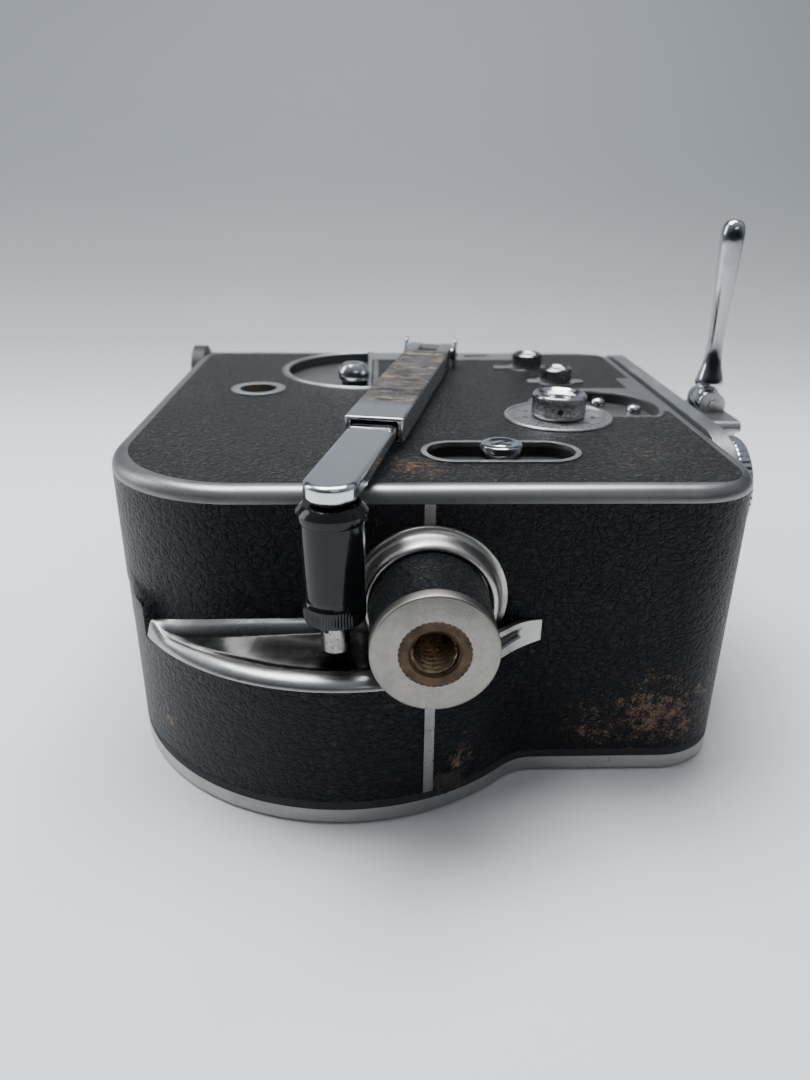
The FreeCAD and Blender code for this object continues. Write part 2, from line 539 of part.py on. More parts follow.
def turret_plate():
    plate = rod_x(24.0, TURRET_BACK_X, TURRET_FRONT_X, TURRET_Y, TURRET_Z)
    for angle in PORT_ANGLES:
        y, z = along((TURRET_Y, TURRET_Z), angle, PORT_CIRCLE)
        plate = plate.fuse(rod_x(LOBE_R, TURRET_BACK_X, TURRET_FRONT_X, y, z))
    for angle in PORT_ANGLES:
        y, z = along((TURRET_Y, TURRET_Z), angle, PORT_CIRCLE)
        plate = plate.cut(rod_x(PORT_RADIUS, 70, 90, y, z))
    land_depth = LAND_FRONT_X - TURRET_BACK_X - 1
    land = block_rounded(LAND_LOW_Y, LAND_HIGH_Y, LAND_LOW_Z, LAND_HIGH_Z, 2.0, 0, land_depth)
    land.rotate(Vector(0, 0, 0), Vector(1, 1, 1), 120)
    land.translate(Vector(TURRET_BACK_X + 1, 0, 0))
    cheeks = rod_y(3.2, LEVER_Y - 6, LEVER_Y + 6, LEVER_X, LEVER_PIVOT_Z)
    cheeks = cheeks.fuse(box(LEVER_X - 3.2, LEVER_X + 3.2, LEVER_Y - 6, LEVER_Y + 6,
                             LAND_HIGH_Z - 2, LEVER_PIVOT_Z))
    land = land.fuse(cheeks)
    land = land.cut(box(TURRET_BACK_X + 0.9, 90, LEVER_Y - 4.2, LEVER_Y + 4.2, LEVER_PIVOT_Z - 4.1, 90))
    for angle in PORT_ANGLES[1:]:
        y, z = along((TURRET_Y, TURRET_Z), angle, PORT_CIRCLE)
        land = land.cut(rod_x(LOBE_R, TURRET_FRONT_X - 0.01, 95, y, z))
        land = land.cut(rod_x(PORT_RADIUS, 70, 95, y, z))
    plate = plate.fuse(land)
    plate = plate.cut(rod_y(1.5, 50, 90, LEVER_X, LEVER_PIVOT_Z))
    plate = plate.fuse(rod_x(3.0, 73.0, TURRET_BACK_X, TURRET_Y, TURRET_Z))
    return plate.removeSplitter()


def front_parts():
    save("turret", turret_plate())
    screw = rod_x(5.0, TURRET_FRONT_X, TURRET_FRONT_X + 2.2, TURRET_Y, TURRET_Z)
    save("turret_screw", screw.cut(box(82.2, 90, TURRET_Y - 5, TURRET_Y + 5, TURRET_Z - 0.5, TURRET_Z + 0.5)))
    y, z = along((TURRET_Y, TURRET_Z), PORT_ANGLES[2], PORT_CIRCLE)
    plug = rod_x(PORT_RADIUS, TURRET_BACK_X + 0.3, TURRET_FRONT_X, y, z)
    plug = plug.fuse(rod_x(13.4, TURRET_FRONT_X + 0.4, 84.6, y, z)).fuse(rod_x(11, 80, 83, y, z))
    save("port_plug", plug.cut(rod_x(10.6, 84.0, 90, y, z)))
    base = Part.makeCone(3.9, 2.0, 8.0, Vector(LEVER_X, LEVER_Y, LEVER_PIVOT_Z))
    tip_z = LEVER_TIP_Z - 3.1
    waist_z = LEVER_PIVOT_Z + 8
    neck = Part.makeCone(2.0, 3.1, tip_z - waist_z, Vector(LEVER_X, LEVER_Y, waist_z))
    tip = Part.makeSphere(3.1, Vector(LEVER_X, LEVER_Y, tip_z))
    knuckle = rod_y(3.5, LEVER_Y - 3.9, LEVER_Y + 3.9, LEVER_X, LEVER_PIVOT_Z)
    lever = base.fuse([neck, tip, knuckle])
    save("turret_lever", lever.cut(rod_y(1.5 + RUNNING, 50, 90, LEVER_X, LEVER_PIVOT_Z)))
    save("turret_lever_pin", rod_y(1.5, LEVER_Y - 6.3, LEVER_Y + 6.3, LEVER_X, LEVER_PIVOT_Z))
    button = rod_x(4.0, 74.6 + 1.9, 78.9, 118, 30)
    save("front_release_button", button)
    y, z = TUBE
    tube = rod_x(8.0, -72.0, 66.0, y, z).cut(rod_x(6.6, -73, 60, y, z))
    feet = [box(x, x + 10, y - 4, y + 4, SPLIT_Z, z - 6).cut(rod_x(7.99, -80, 80, y, z)) for x in (-40, 34)]
    save("focus_tube", tube.fuse(feet))
    cup = rod_x(10.5, -78.0, -73.6, y, z).fuse(rod_x(6.5, -74, -66, y, z))
    save("focus_eyepiece", cup.cut(rod_x(5.0, -90, -60, y, z)))


# ---------------- handle and door ----------------

def handle_parts():
    """Leather carrying strap arched over the top of the film half, on two loops."""
    strap = disc(STRAP_OUTER, STRAP_CENTRE, STRAP_LOW_Z, STRAP_HIGH_Z)
    strap = strap.cut(disc(STRAP_INNER, STRAP_CENTRE, STRAP_LOW_Z - 1, STRAP_HIGH_Z + 1))
    strap = strap.common(box(-68, 30, STRAP_ENDS_Y, 200, STRAP_LOW_Z, STRAP_HIGH_Z))
    save("carrying_strap", strap)
    lugs = []
    for x in LUG_PLACES:
        lug = box(x - 3.6, x + 3.6, 150, STRAP_ENDS_Y + 0.6, STRAP_LOW_Z + 2, STRAP_HIGH_Z - 2)
        lug = lug.cut(disc(LOBE_RADIUS, (SPOOL_X, SPOOL_HIGH_Y), 0, 50)).cut(film_prism(0, 0, 50))
        lug = lug.common(disc(STRAP_INNER - 0.1, STRAP_CENTRE, 10, 40))
        lugs.append(lug)
    save("strap_lugs", *lugs)


def door_lock_cuts(z0, z1):
    first = disc(LOCK_RADIUS + 0.3, LOCKS[0], z0, z1)
    return first.fuse(disc(LOCK_RADIUS + 0.3, LOCKS[1], z0, z1))


def door_parts():
    door = film_prism(0, 0, DOOR_RIM_Z)
    rim = [edge for edge in door.Edges if edge.BoundBox.ZMax < 0.01]
    door = door.makeChamfer(0.8, rim)
    door = door.cut(film_prism(DOOR_EDGE, -1, 0.8)).cut(film_prism(DOOR_EDGE, 2.4, DOOR_RIM_Z + 1))
    lip = film_prism(DOOR_EDGE + 0.1, 2.4, 8.0).cut(film_prism(DOOR_EDGE + 0.1 + DOOR_LIP, 2, 9))
    door = door.fuse(lip)
    for lock in LOCKS:
        door = door.fuse(disc(LOCK_RADIUS + 2, lock, 0.8, 4.0)).cut(disc(LOCK_RADIUS + 0.3, lock, -1, 2.3))
        door = door.cut(disc(3.0 + RUNNING, lock, 2, 5))
    save("film_door", door)
    for index, lock in enumerate(LOCKS):
        x, y = lock
        key = disc(LOCK_RADIUS, lock, 0.3, 1.2).fuse(box(x - 7.5, x + 7.5, y - 0.7, y + 0.7, 1, 2.2))
        key = key.fuse([disc(3.0, lock, 1, 10), box(x - 8, x + 8, y - 2.5, y + 2.5, 8.6, 10)])
        save("door_lock_%d" % (index + 1), key)


# ---------------- clockwork and film path ----------------

def clockwork():
    arbor_to_wind = math.degrees(math.atan2(HUB_Y - SPRING_CENTRE[1], HUB_X - SPRING_CENTRE[0]))
    wind = gear((HUB_X, HUB_Y), WIND_TEETH, MOTOR_MODULE, 45.0, 47.5, arbor_to_wind + 180 + 180 / WIND_TEETH)
    save("winding_shaft", wind.fuse(disc(3.5, (HUB_X, HUB_Y), SPLIT_Z + 0.1, 67.2)))
    arbor = gear(SPRING_CENTRE, ARBOR_TEETH, MOTOR_MODULE, 45.0, 47.5, arbor_to_wind)
    arbor = arbor.fuse(disc(3.0, SPRING_CENTRE, SPLIT_Z + 0.1, 67.2))
    ratchet = gear(SPRING_CENTRE, 20, 1.2, 47.5, 49.0, 0)
    save("spring_arbor", arbor.fuse(ratchet))
    pawl_pivot = along(SPRING_CENTRE, 250, 22)
    pawl = disc(2.4, pawl_pivot, 47.9, 49.2)
    finger = Part.makeBox(8.3, 2, 1.3, Vector(0, -1, 47.9))
    finger.rotate(Vector(0, 0, 0), Vector(0, 0, 1), 90)
    finger.translate(Vector(pawl_pivot[0] + 1.2, pawl_pivot[1], 0))
    save("ratchet_pawl", pawl.fuse(finger))
    to_wheel = 14.0
    inside = BARREL_RADIUS - 1.5
    barrel = disc(BARREL_RADIUS, SPRING_CENTRE, 50.0, 64.5).cut(disc(inside, SPRING_CENTRE, 51.2, 63.2))
    rim = gear(SPRING_CENTRE, BARREL_TEETH, BARREL_MODULE, 62.3, 64.5, to_wheel)
    rim = rim.cut(disc(inside, SPRING_CENTRE, 60, 70))
    barrel = barrel.fuse(rim).cut(disc(3.0 + RUNNING, SPRING_CENTRE, 40, 70))
    save("spring_barrel", barrel)
    coils = []
    for index in range(6):
        radius = 12 + index * 4.4
        coils.append(disc(radius + 0.7, SPRING_CENTRE, 51.6, 62.8).cut(disc(radius, SPRING_CENTRE, 50, 66)))
    x, y = SPRING_CENTRE
    link = box(x + 3.1, x + 34.2, y - 0.4, y + 0.4, 56, 58)
    save("mainspring", coils[0].fuse(coils[1:] + [link]))
    wheel_at = along(SPRING_CENTRE, to_wheel, (BARREL_TEETH + PINION_TEETH) * BARREL_MODULE / 2)
    pinion = gear(wheel_at, PINION_TEETH, BARREL_MODULE, 61.8, 65.2, to_wheel + 180 + 180 / PINION_TEETH)
    wheel = gear(wheel_at, WHEEL_TEETH, TRAIN_MODULE, 65.2, 66.8, 20.0)
    save("great_wheel", wheel.fuse([pinion, disc(1.2, wheel_at, 60, 67.2)]))
    reach = (WHEEL_TEETH + PINION_TEETH) * TRAIN_MODULE / 2
    upright_at = along(wheel_at, 20.0, reach)
    spindle = gear(upright_at, PINION_TEETH, TRAIN_MODULE, 64.9, 66.9, 200.0 + 180 / PINION_TEETH)
    low_pinion = gear(upright_at, PINION_TEETH, TRAIN_MODULE, 42.9, 44.9, 150.0)
    bevel = Part.makeCone(2.0, 3.4, 2.0, Vector(upright_at[0], upright_at[1], 40.4))
    save("drive_spindle", spindle.fuse([low_pinion, bevel, disc(1.5, upright_at, 40.4, 67.2)]))
    governor_at = along(wheel_at, -70.0, reach)
    low = disc(11.0, governor_at, 48.0, 49.0)
    weights = [disc(2.6, along(governor_at, angle, 8.0), 49.0, 56.0) for angle in (0, 120, 240)]
    top = gear(governor_at, PINION_TEETH, TRAIN_MODULE, 64.9, 66.9, 110.0 + 180 / PINION_TEETH)
    save("governor", top.fuse([low, disc(1.4, governor_at, 45.4, 67.2)] + weights))
    upper = along(upright_at, 150.0, (SPROCKET_TEETH + PINION_TEETH) * TRAIN_MODULE / 2)
    pitch_sum = (SPROCKET_TEETH + IDLER_TEETH) * TRAIN_MODULE / 2
    idler = (upper[0], upper[1] - pitch_sum)
    lower = (upper[0], idler[1] - pitch_sum)
    half_tooth = 180 / SPROCKET_TEETH
    save("upper_sprocket", sprocket(upper, 330.0 + half_tooth))
    phase = 270 - (330.0 + half_tooth)
    idler_phase = 90 + 180 / IDLER_TEETH + (phase % (360 / SPROCKET_TEETH)) * SPROCKET_TEETH / IDLER_TEETH
    save("idler_gear", gear(idler, IDLER_TEETH, TRAIN_MODULE, 43.0, 44.6, idler_phase).fuse(
        disc(1.5, idler, SPLIT_Z + 0.1, 44.8)))
    at_lower = (270 - idler_phase) % (360 / IDLER_TEETH)
    save("lower_sprocket", sprocket(lower, 90 + half_tooth + at_lower * IDLER_TEETH / SPROCKET_TEETH))


def sprocket(centre, phase):
    """Film sprocket on its spindle, with its gear on the mechanism side."""
    body = gear(centre, SPROCKET_TEETH, TRAIN_MODULE, 43.0, 44.6, phase)
    body = body.fuse([disc(1.5, centre, 10.0, 44.8), disc(7.4, centre, 14.0, 30.4)])
    body = body.fuse([disc(9.2, centre, 14.0, 16.4), disc(9.2, centre, 28.0, 30.4)])
    for index in range(8):
        x, y = along(centre, index * 45.0, 9.2)
        body = body.fuse(disc(0.6, (x, y), 14.4, 15.6))
    return body


def film_path():
    shaft_y = along(along(SPRING_CENTRE, 14.0, 43.2), 20.0, 25.2)[1]
    blade = rod_x(SHUTTER_RADIUS, 68.0, 68.8, shaft_y, SHUTTER_Z)
    gap = rod_x(SHUTTER_RADIUS + 1, 67, 70, shaft_y, SHUTTER_Z).cut(rod_x(8.0, 66, 71, shaft_y, SHUTTER_Z))
    gap = gap.common(box(60, 75, shaft_y - 40, shaft_y + 40, 0, SHUTTER_Z))
    gap = gap.common(box(60, 75, 0, shaft_y, 0, 80))
    blade = blade.cut(gap).fuse(rod_x(1.5, 56.0, 69.4, shaft_y, SHUTTER_Z))
    bevel = Part.makeCone(3.2, 1.9, 2.0, Vector(56.0, shaft_y, SHUTTER_Z), Vector(-1, 0, 0))
    save("shutter", blade.fuse(bevel))
    y, z = APERTURE
    gate = box(64.0, 65.4, 46, 88, 12, 33).cut(box(60, 70, y - 3.75, y + 3.75, z - 5.15, z + 5.15))
    save("film_gate", gate.cut(box(60, 70, y + 7, y + 17, 13.5, 15.5)))
    pad = box(59.2, 60.4, 48, 84, 13, 32)
    save("pressure_plate", pad.fuse(box(54, 59.2, 64, 72, 19, 25)))
    claw = box(65.7, 66.4, y + 7.6, y + 26, 13.8, 15.2).fuse(box(63.6, 65.9, y + 7.6, y + 8.6, 13.8, 15.2))
    save("film_claw", claw)
    for name, spool_y in (("supply_spindle", SPOOL_HIGH_Y), ("takeup_spindle", SPOOL_LOW_Y)):
        core = disc(2.5, (SPOOL_X, spool_y), 10.0, 42.1).fuse(disc(6.0, (SPOOL_X, spool_y), 36.2, 38.1))
        key = block_rounded(SPOOL_X - 3.9, SPOOL_X + 3.9, spool_y - 3.9, spool_y + 3.9, 0.6, 12.0, 18.0)
        save(name, core.fuse(key))


os.makedirs("parts", exist_ok=True)
castings()
leathers()
boss_parts()
crank_parts()
side_controls()
front_parts()
handle_parts()
door_parts()
clockwork()
film_path()
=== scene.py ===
import math
import random

import bmesh
import bpy
from mathutils import Matrix, Vector


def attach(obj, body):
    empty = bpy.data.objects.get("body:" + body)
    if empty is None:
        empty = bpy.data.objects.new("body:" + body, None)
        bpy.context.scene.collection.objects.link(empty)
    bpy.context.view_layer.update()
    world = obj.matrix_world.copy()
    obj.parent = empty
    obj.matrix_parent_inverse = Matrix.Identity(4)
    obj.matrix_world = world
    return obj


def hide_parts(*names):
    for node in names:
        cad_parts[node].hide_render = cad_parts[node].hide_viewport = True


# Looks of the clockwork cine camera.  Lengths below are millimetres in the body axes of the CAD:
# X to the lens front, Y to the top of the camera, Z up, Z = 0 on the door face.
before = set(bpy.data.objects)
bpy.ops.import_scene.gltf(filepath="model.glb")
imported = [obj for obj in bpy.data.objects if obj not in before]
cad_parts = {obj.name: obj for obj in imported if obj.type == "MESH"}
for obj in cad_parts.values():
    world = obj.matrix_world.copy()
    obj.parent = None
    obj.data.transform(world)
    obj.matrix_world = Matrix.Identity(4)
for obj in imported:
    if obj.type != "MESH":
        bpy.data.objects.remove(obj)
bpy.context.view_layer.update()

MM = 0.001
BOSS_REACH = 23.8
BOSS_Z = 47.8
SIDE_Z = 72.4

HUB = (7.0, 116.0)
CRANK_ANGLE = -101.9
CRANK_REACH = 129.0
CRANK_PIN_Z = SIDE_Z + 4.6
SLEEVE_LENGTH = 90.4
SLEEVE_HALF = 7.0
SLEEVE_LOW = SIDE_Z + 1.3
SLEEVE_HIGH = SIDE_Z + 7.4
SLIDE_HALF = 5.5
SLIDE_LOW = SIDE_Z + 2.2
SLIDE_HIGH = SIDE_Z + 6.0
KNOB_TOP = 73.6
KNOB_BOTTOM = 48.6
SPINDLE_BOTTOM = 41.3

DIAL = (37.2, 54.5)
SLOT = (17.8, 24.4)
EXPOSURE = (44.6, 95.0)
COUNTER_RESET = (39.0, 115.0)
CLUTCH = (-14.0, 113.0)
CLUTCH_LEVER = (-18.0, 97.0)
BUSH = (-46.0, 85.0)
TURRET = (68.0, 44.0)
PORT_CIRCLE = 22.0
LEVER = (83.0, 70.5, 73.0)

LOBE = (-18.4, 37.6)
LOBE_RADIUS = 54.6
LOBE_FACE = 54.65
SHELF_FACE = 54.68
SHOULDER_FACE = 54.66
GAP_FACE = 54.62
REAR_CORNER = (-39.8, 33.2)
REAR_RADIUS = 33.2
HOLLOW_RADIUS = 12.0
LEDGE_RADIUS = 51.15
SHELF_EDGE = 34.7
SHELF_CREST = 37.2
SHELF_TOP = 41.95

STRAP_CENTRE = (-19.0, 134.5)
STRAP_LIMIT = math.radians(53.5)

ROOM_DARK = 0.02
ROOM_BRIGHT = 0.50
OVERHEAD_POWER = 20.5
WINDOW_POWER = 3.5
FRONT_POWER = 0.35
PHOTO_SPOT = (-10.85, -156.0, 130.9)
PHOTO_ANGLES = (24.10, 2.098, 0.621)
PHOTO_LENS = 27.24
PHOTO_FOCUS = 0.172
PHOTO_STOP = 17.0


def times(tone, factor):
    return tuple(c * factor for c in tone)


def row(x, y, z):
    """A body-axes point in millimetres as a row-frame point in metres."""
    return Vector((x, y + BOSS_REACH, z - BOSS_Z)) * MM


# ---------------- shader helpers ----------------

def add_node(tree, kind, inputs, **settings):
    """A shader node with its settings and inputs filled; an input is a value or a socket to link."""
    node = tree.nodes.new("ShaderNode" + kind)
    for key, value in settings.items():
        setattr(node, key, value)
    for key, value in inputs.items():
        fill(tree, value, node.inputs[key])
    return node


def fill(tree, value, socket):
    if isinstance(value, bpy.types.NodeSocket):
        tree.links.new(value, socket)
    else:
        socket.default_value = value


def opaque(tone):
    return tone + (1.0,) if isinstance(tone, tuple) else tone


class Shader:
    """A new node material with short calls for the nodes used here."""

    def __init__(self, name):
        self.material = bpy.data.materials.new(name)
        self.material.use_nodes = True
        self.tree = self.material.node_tree
        self.main = self.tree.nodes["Principled BSDF"]
        self.place = self.node("TexCoord", {}).outputs["Object"]

    def node(self, kind, inputs, **settings):
        return add_node(self.tree, kind, inputs, **settings)

    def scaled(self, size):
        """Object coordinates multiplied by size, in cycles per metre."""
        scale = size if isinstance(size, tuple) else (size, size, size)
        return self.node("Mapping", {"Vector": self.place, "Scale": scale}).outputs[0]

    def noise(self, size, detail=4.0, rough=0.55, distort=0.0):
        values = {"Vector": self.scaled(size), "Scale": 1.0, "Detail": detail, "Roughness": rough,
                  "Distortion": distort}
        return self.node("TexNoise", values).outputs[0]

    def cells(self, vector, feature):
        return self.node("TexVoronoi", {"Vector": vector, "Scale": 1.0}, feature=feature).outputs["Distance"]

    def math(self, kind, a, b=0.0, c=0.0):
        return self.node("Math", {0: a, 1: b, 2: c}, operation=kind).outputs[0]

    def product(self, a, b):
        return self.math("MULTIPLY", a, b)

    def times_plus(self, a, b, c):
        return self.math("MULTIPLY_ADD", a, b, c)

    def span(self, value, low, high, to_low=0.0, to_high=1.0):
        values = {"Value": value, "From Min": low, "From Max": high, "To Min": to_low, "To Max": to_high}
        return self.node("MapRange", values, interpolation_type="SMOOTHSTEP").outputs[0]

    def mix(self, amount, first, second):
        return self.node("Mix", {0: amount, 6: opaque(first), 7: opaque(second)}, data_type="RGBA").outputs[2]

    def distance(self, vector, centre):
        return self.node("VectorMath", {0: vector, 1: centre}, operation="DISTANCE").outputs["Value"]

    def near(self, centre, reach):
        """1 at a body-axes point, fading to 0 at reach millimetres away."""
        return self.span(self.distance(self.place, row(*centre)), 0.0, reach * MM, 1.0, 0.0)

    def axis(self, index):
        return self.node("SeparateXYZ", {0: self.place}).outputs[index]

    def steepness(self):
        """How far the surface faces up or down: 1 for level, 0 for a wall."""
        normal = self.node("NewGeometry", {}).outputs["True Normal"]
        return self.math("ABSOLUTE", self.node("SeparateXYZ", {0: normal}).outputs[2])

    def bump(self, height, depth, edge=None):
        """Bumped normal; edge is the radius in millimetres that softens hard edges first."""
        values = {"Strength": 1.0, "Distance": depth * MM, "Height": height}
        if edge:
            values["Normal"] = self.node("Bevel", {"Radius": edge * MM}, samples=4).outputs[0]
        return self.node("Bump", values).outputs[0]

    def done(self, color, metal, rough, normal, coat=0.0):
        for key, value in (("Base Color", opaque(color)), ("Metallic", metal), ("Roughness", rough),
                           ("Coat Weight", coat), ("Normal", normal)):
            fill(self.tree, value, self.main.inputs[key])
        return self.material


# ---------------- materials ----------------

def leather(name, tone, patches, gloss, grain, relief, sheen=0.5):
    """Pebbled leatherette: irregular grains with creases between them, the creases darkened with painted
    shade, rubbed tan where patches say.
    """
    s = Shader(name)
    wander = s.node("TexNoise", {"Vector": s.scaled(300), "Scale": 1.0, "Detail": 4.0}).outputs["Color"]
    moved = s.node("VectorMath", {0: wander, 1: (2.1, 2.1, 2.1), 2: s.scaled(grain)},
                   operation="MULTIPLY_ADD").outputs[0]
    big = s.span(s.cells(moved, "DISTANCE_TO_EDGE"), 0.0, 0.16)
    pillow = s.cells(moved, "F1")
    small = s.span(s.noise((1100, 1500, 1500), 3.0, 0.6, 1.2), 0.36, 0.60)
    fine = s.noise(3200, 3.0, 0.6)
    height = s.times_plus(big, 0.60, s.product(pillow, -0.40))
    height = s.times_plus(small, 0.34, height)
    height = s.times_plus(fine, 0.14, height)
    broad = s.noise(45, 3.0, 0.5)
    color = s.mix(s.span(broad, 0.35, 0.7), tone, times(tone, 1.5))
    # Painted shade: the creases between the grains are darkened.
    color = s.mix(s.span(s.product(big, small), 0.35, 0.0), color, times(tone, 0.30))
    worn = None
    for centre, reach, strength in patches:
        patch = s.product(s.near(centre, reach), strength)
        worn = patch if worn is None else s.math("MAXIMUM", worn, patch)
    if worn is not None:
        speck = s.noise((2100, 1900, 1900), 5.0, 0.75, 0.6)
        patchy = s.noise(480, 3.0, 0.6)
        lifted = s.times_plus(patchy, 0.55, speck)
        lifted = s.math("ADD", lifted, s.product(worn, 0.30))
        rubbed = s.product(s.span(lifted, 0.97, 1.04), s.span(worn, 0.02, 0.12))
        tan = s.mix(s.noise(900, 3.0, 0.7), (0.060, 0.034, 0.020), (0.34, 0.225, 0.14))
        color = s.mix(rubbed, color, tan)
    rough = s.span(fine, 0.3, 0.7, gloss - 0.08, gloss + 0.12)
    s.main.inputs["Specular IOR Level"].default_value = sheen
    return s.done(color, 0.0, rough, s.bump(height, relief))


def aluminium(name, tone, rough, stain, edge, grain=(900, 900, 900), nicks=0.75, hollow_shade_tone=None):
    """Cast or rolled aluminium with stains, hairlines, small pits and dark nicks; hollows can be darkened
    with painted shade.
    """
    s = Shader(name)
    cloud = s.noise(90, 5.0, 0.6, 0.6)
    film = s.noise(23, 3.0, 0.5)
    hairs = s.noise(grain, 4.0, 0.6)
    pits = s.span(s.noise(1500, 2.0, 0.5), nicks - 0.03, nicks + 0.03)
    dark = times(tone, 1.0 - stain * 1.6)
    color = s.mix(s.span(cloud, 0.44, 0.72, 0.0, stain * 2.6), tone, dark)
    color = s.mix(s.span(film, 0.45, 0.7, 0.0, 0.5), color, times(dark, 0.8))
    color = s.mix(pits, color, times(tone, 0.18))
    if hollow_shade_tone:
        # Painted shade: points marked sunk take the dark hollow tone, standing in for the dark reflection in
        # a hollow.
        hollow = s.node("Attribute", {}, attribute_name="sunk").outputs["Fac"]
        color = s.mix(hollow, color, hollow_shade_tone)
    shine = s.times_plus(hairs, 0.16, rough - 0.08)
    shine = s.times_plus(s.span(cloud, 0.45, 0.7), 0.14, shine)
    if hollow_shade_tone:
        shine = s.times_plus(hollow, -0.10, shine)
    height = s.math("SUBTRACT", s.product(hairs, 0.4), pits)
    return s.done(color, 1.0, shine, s.bump(height, 0.014, edge))


def cover_metal(name, tone, rough):
    """The rolled bead of the side cover; its sunk recesses get painted shade: greyer floors, near-black
    walls, release slot and drive hole.
    """
    s = Shader(name)
    cloud = s.noise(70, 5.0, 0.6, 0.6)
    hairs = s.noise((60, 900, 900), 4.0, 0.6)
    pits = s.span(s.noise(1400, 2.0, 0.5), 0.70, 0.76)
    color = s.mix(s.span(cloud, 0.44, 0.72, 0.0, 0.6), tone, times(tone, 0.62))
    color = s.mix(pits, color, times(tone, 0.2))
    up = s.axis(2)
    sunk = s.span(up, (SIDE_Z - BOSS_Z - 0.75) * MM, (SIDE_Z - BOSS_Z - 0.35) * MM, 1.0, 0.0)
    wall = s.span(s.steepness(), 0.55, 0.75, 1.0, 0.0)
    slot = s.span(s.near((SLOT[0], SLOT[1], SIDE_Z - 3), 21.0), 0.0, 0.06)
    drive = s.span(s.near((BUSH[0], BUSH[1], SIDE_Z - 3), 9.0), 0.0, 0.06)
    inward = s.product(s.near((0, 70, SIDE_Z - 3), 100.0), 3.0)
    painted = s.math("MAXIMUM", wall, s.math("MAXIMUM", slot, drive))
    dark = s.product(s.product(sunk, painted), s.math("MINIMUM", inward, 1.0))
    # Painted shade: recess floors greyer, and the walls, the release slot and the drive hole near black.
    color = s.mix(s.product(sunk, 0.45), color, (0.22, 0.22, 0.22))
    color = s.mix(dark, color, (0.006, 0.006, 0.006))
    shine = s.times_plus(hairs, 0.16, rough - 0.08)
    shine = s.times_plus(dark, 0.35, shine)
    metal = s.math("SUBTRACT", 1.0, dark)
    height = s.math("SUBTRACT", s.product(hairs, 0.4), pits)
    return s.done(color, metal, shine, s.bump(height, 0.014, 0.25))


def chrome(name, tone, rough=0.07, edge=0.2):
    s = Shader(name)
    smudge = s.noise(140, 4.0, 0.6, 0.8)
    hairs = s.noise((3000, 260, 260), 3.0, 0.6)
    color = s.mix(s.span(smudge, 0.55, 0.75, 0.0, 0.35), tone, times(tone, 0.72))
    shine = s.times_plus(s.span(smudge, 0.4, 0.75), 0.12, rough)
    return s.done(color, 1.0, shine, s.bump(hairs, 0.003, edge))


def knob_chrome(name, face, side_shade):
    """Chrome whose steep sides are darkened with painted shade, leaving the top brighter."""
    s = Shader(name)
    smudge = s.noise(300, 4.0, 0.6, 0.8)
    side = s.span(s.steepness(), 0.25, 0.7, 1.0, 0.0)
    color = s.mix(s.span(smudge, 0.45, 0.75, 0.0, 0.5), (face, face, face * 1.03), (face * 0.55,) * 3)
    # Painted shade: steep sides take the darker side tone.
    color = s.mix(side, color, (side_shade, side_shade, side_shade * 1.03))
    rough = s.times_plus(side, 0.16, s.span(smudge, 0.4, 0.75, 0.07, 0.2))
    return s.done(color, 1.0, rough, s.bump(smudge, 0.004, 0.15))


def worn_sleeve(name):
    """Plated sleeve rubbed through to brown metal on its back, streaked across the arm."""
    s = Shader(name)
    across = s.noise((120, 30, 60), 6.0, 0.68, 1.8)
    flakes = s.noise((520, 190, 300), 5.0, 0.72, 0.8)
    along = s.axis(0)
    inside = s.product(s.span(along, 0.005, 0.014), s.span(along, 0.081, 0.073))
    top = s.span(s.axis(2), (SLEEVE_HIGH - 0.5) * MM, (SLEEVE_HIGH - 0.1) * MM)
    amount = s.times_plus(flakes, 0.30, across)
    worn = s.product(s.span(amount, 0.46, 0.55), s.product(inside, top))
    brown = s.mix(s.span(flakes, 0.38, 0.62), (0.050, 0.036, 0.030), (0.26, 0.225, 0.205))
    brown = s.mix(s.span(s.noise((230, 70, 90), 3.0), 0.60, 0.68), brown, (0.40, 0.32, 0.19))
    chips = s.span(s.noise((330, 110, 200), 5.0, 0.75, 1.0), 0.60, 0.64)
    brown = s.mix(chips, brown, (0.62, 0.62, 0.64))
    color = s.mix(worn, (0.60, 0.61, 0.64), brown)
    rough = s.times_plus(worn, 0.26, s.span(flakes, 0.3, 0.8, 0.10, 0.24))
    height = s.times_plus(worn, -1.0, s.product(flakes, 0.5))
    return s.done(color, 1.0, rough, s.bump(height, 0.035, 0.35))


def turned_face(name, tone, rings_per_mm, rough):
    """Lathe-faced metal: fine rings about the socket axis."""
    s = Shader(name)
    flat = s.node("VectorMath", {0: s.place, 1: (1, 1, 0)}, operation="MULTIPLY").outputs[0]
    radius = s.distance(flat, (0, 0, 0))
    wobble = s.times_plus(s.noise(500, 3.0), 0.0003, radius)
    rings = s.math("SINE", s.product(wobble, rings_per_mm * 2 * math.pi / MM))
    grain = s.noise(2200, 3.0, 0.7)
    pits = s.span(s.noise(1300, 2.0), 0.70, 0.76)
    color = s.mix(s.span(s.noise(160, 5.0, 0.6), 0.4, 0.75), tone, times(tone, 0.72))
    color = s.mix(pits, color, times(tone, 0.3))
    edge_dirt = s.span(radius, 0.0118, 0.0127, 0.0, 0.45)
    color = s.mix(edge_dirt, color, times(tone, 0.45))
    color = s.mix(s.span(rings, 0.0, 0.9, 0.0, 0.5), color, times(tone, 0.5))
    blotch = s.span(s.noise(750, 5.0, 0.7), 0.40, 0.62, 0.0, 0.5)
    color = s.mix(blotch, color, times(tone, 0.66))
    height = s.times_plus(rings, 0.30, s.math("SUBTRACT", grain, pits))
    rough_map = s.times_plus(grain, 0.2, rough - 0.1)
    return s.done(color, 1.0, rough_map, s.bump(height, 0.05, 0.3))


def tarnished_brass(name, tone, rough, metal):
    s = Shader(name)
    cloud = s.noise(350, 5.0, 0.65)
    color = s.mix(s.span(cloud, 0.35, 0.7), tone, times(tone, 0.45))
    return s.done(color, metal, s.span(cloud, 0.3, 0.7, rough - 0.1, rough + 0.15),
                  s.bump(s.noise(1400), 0.02, 0.12))


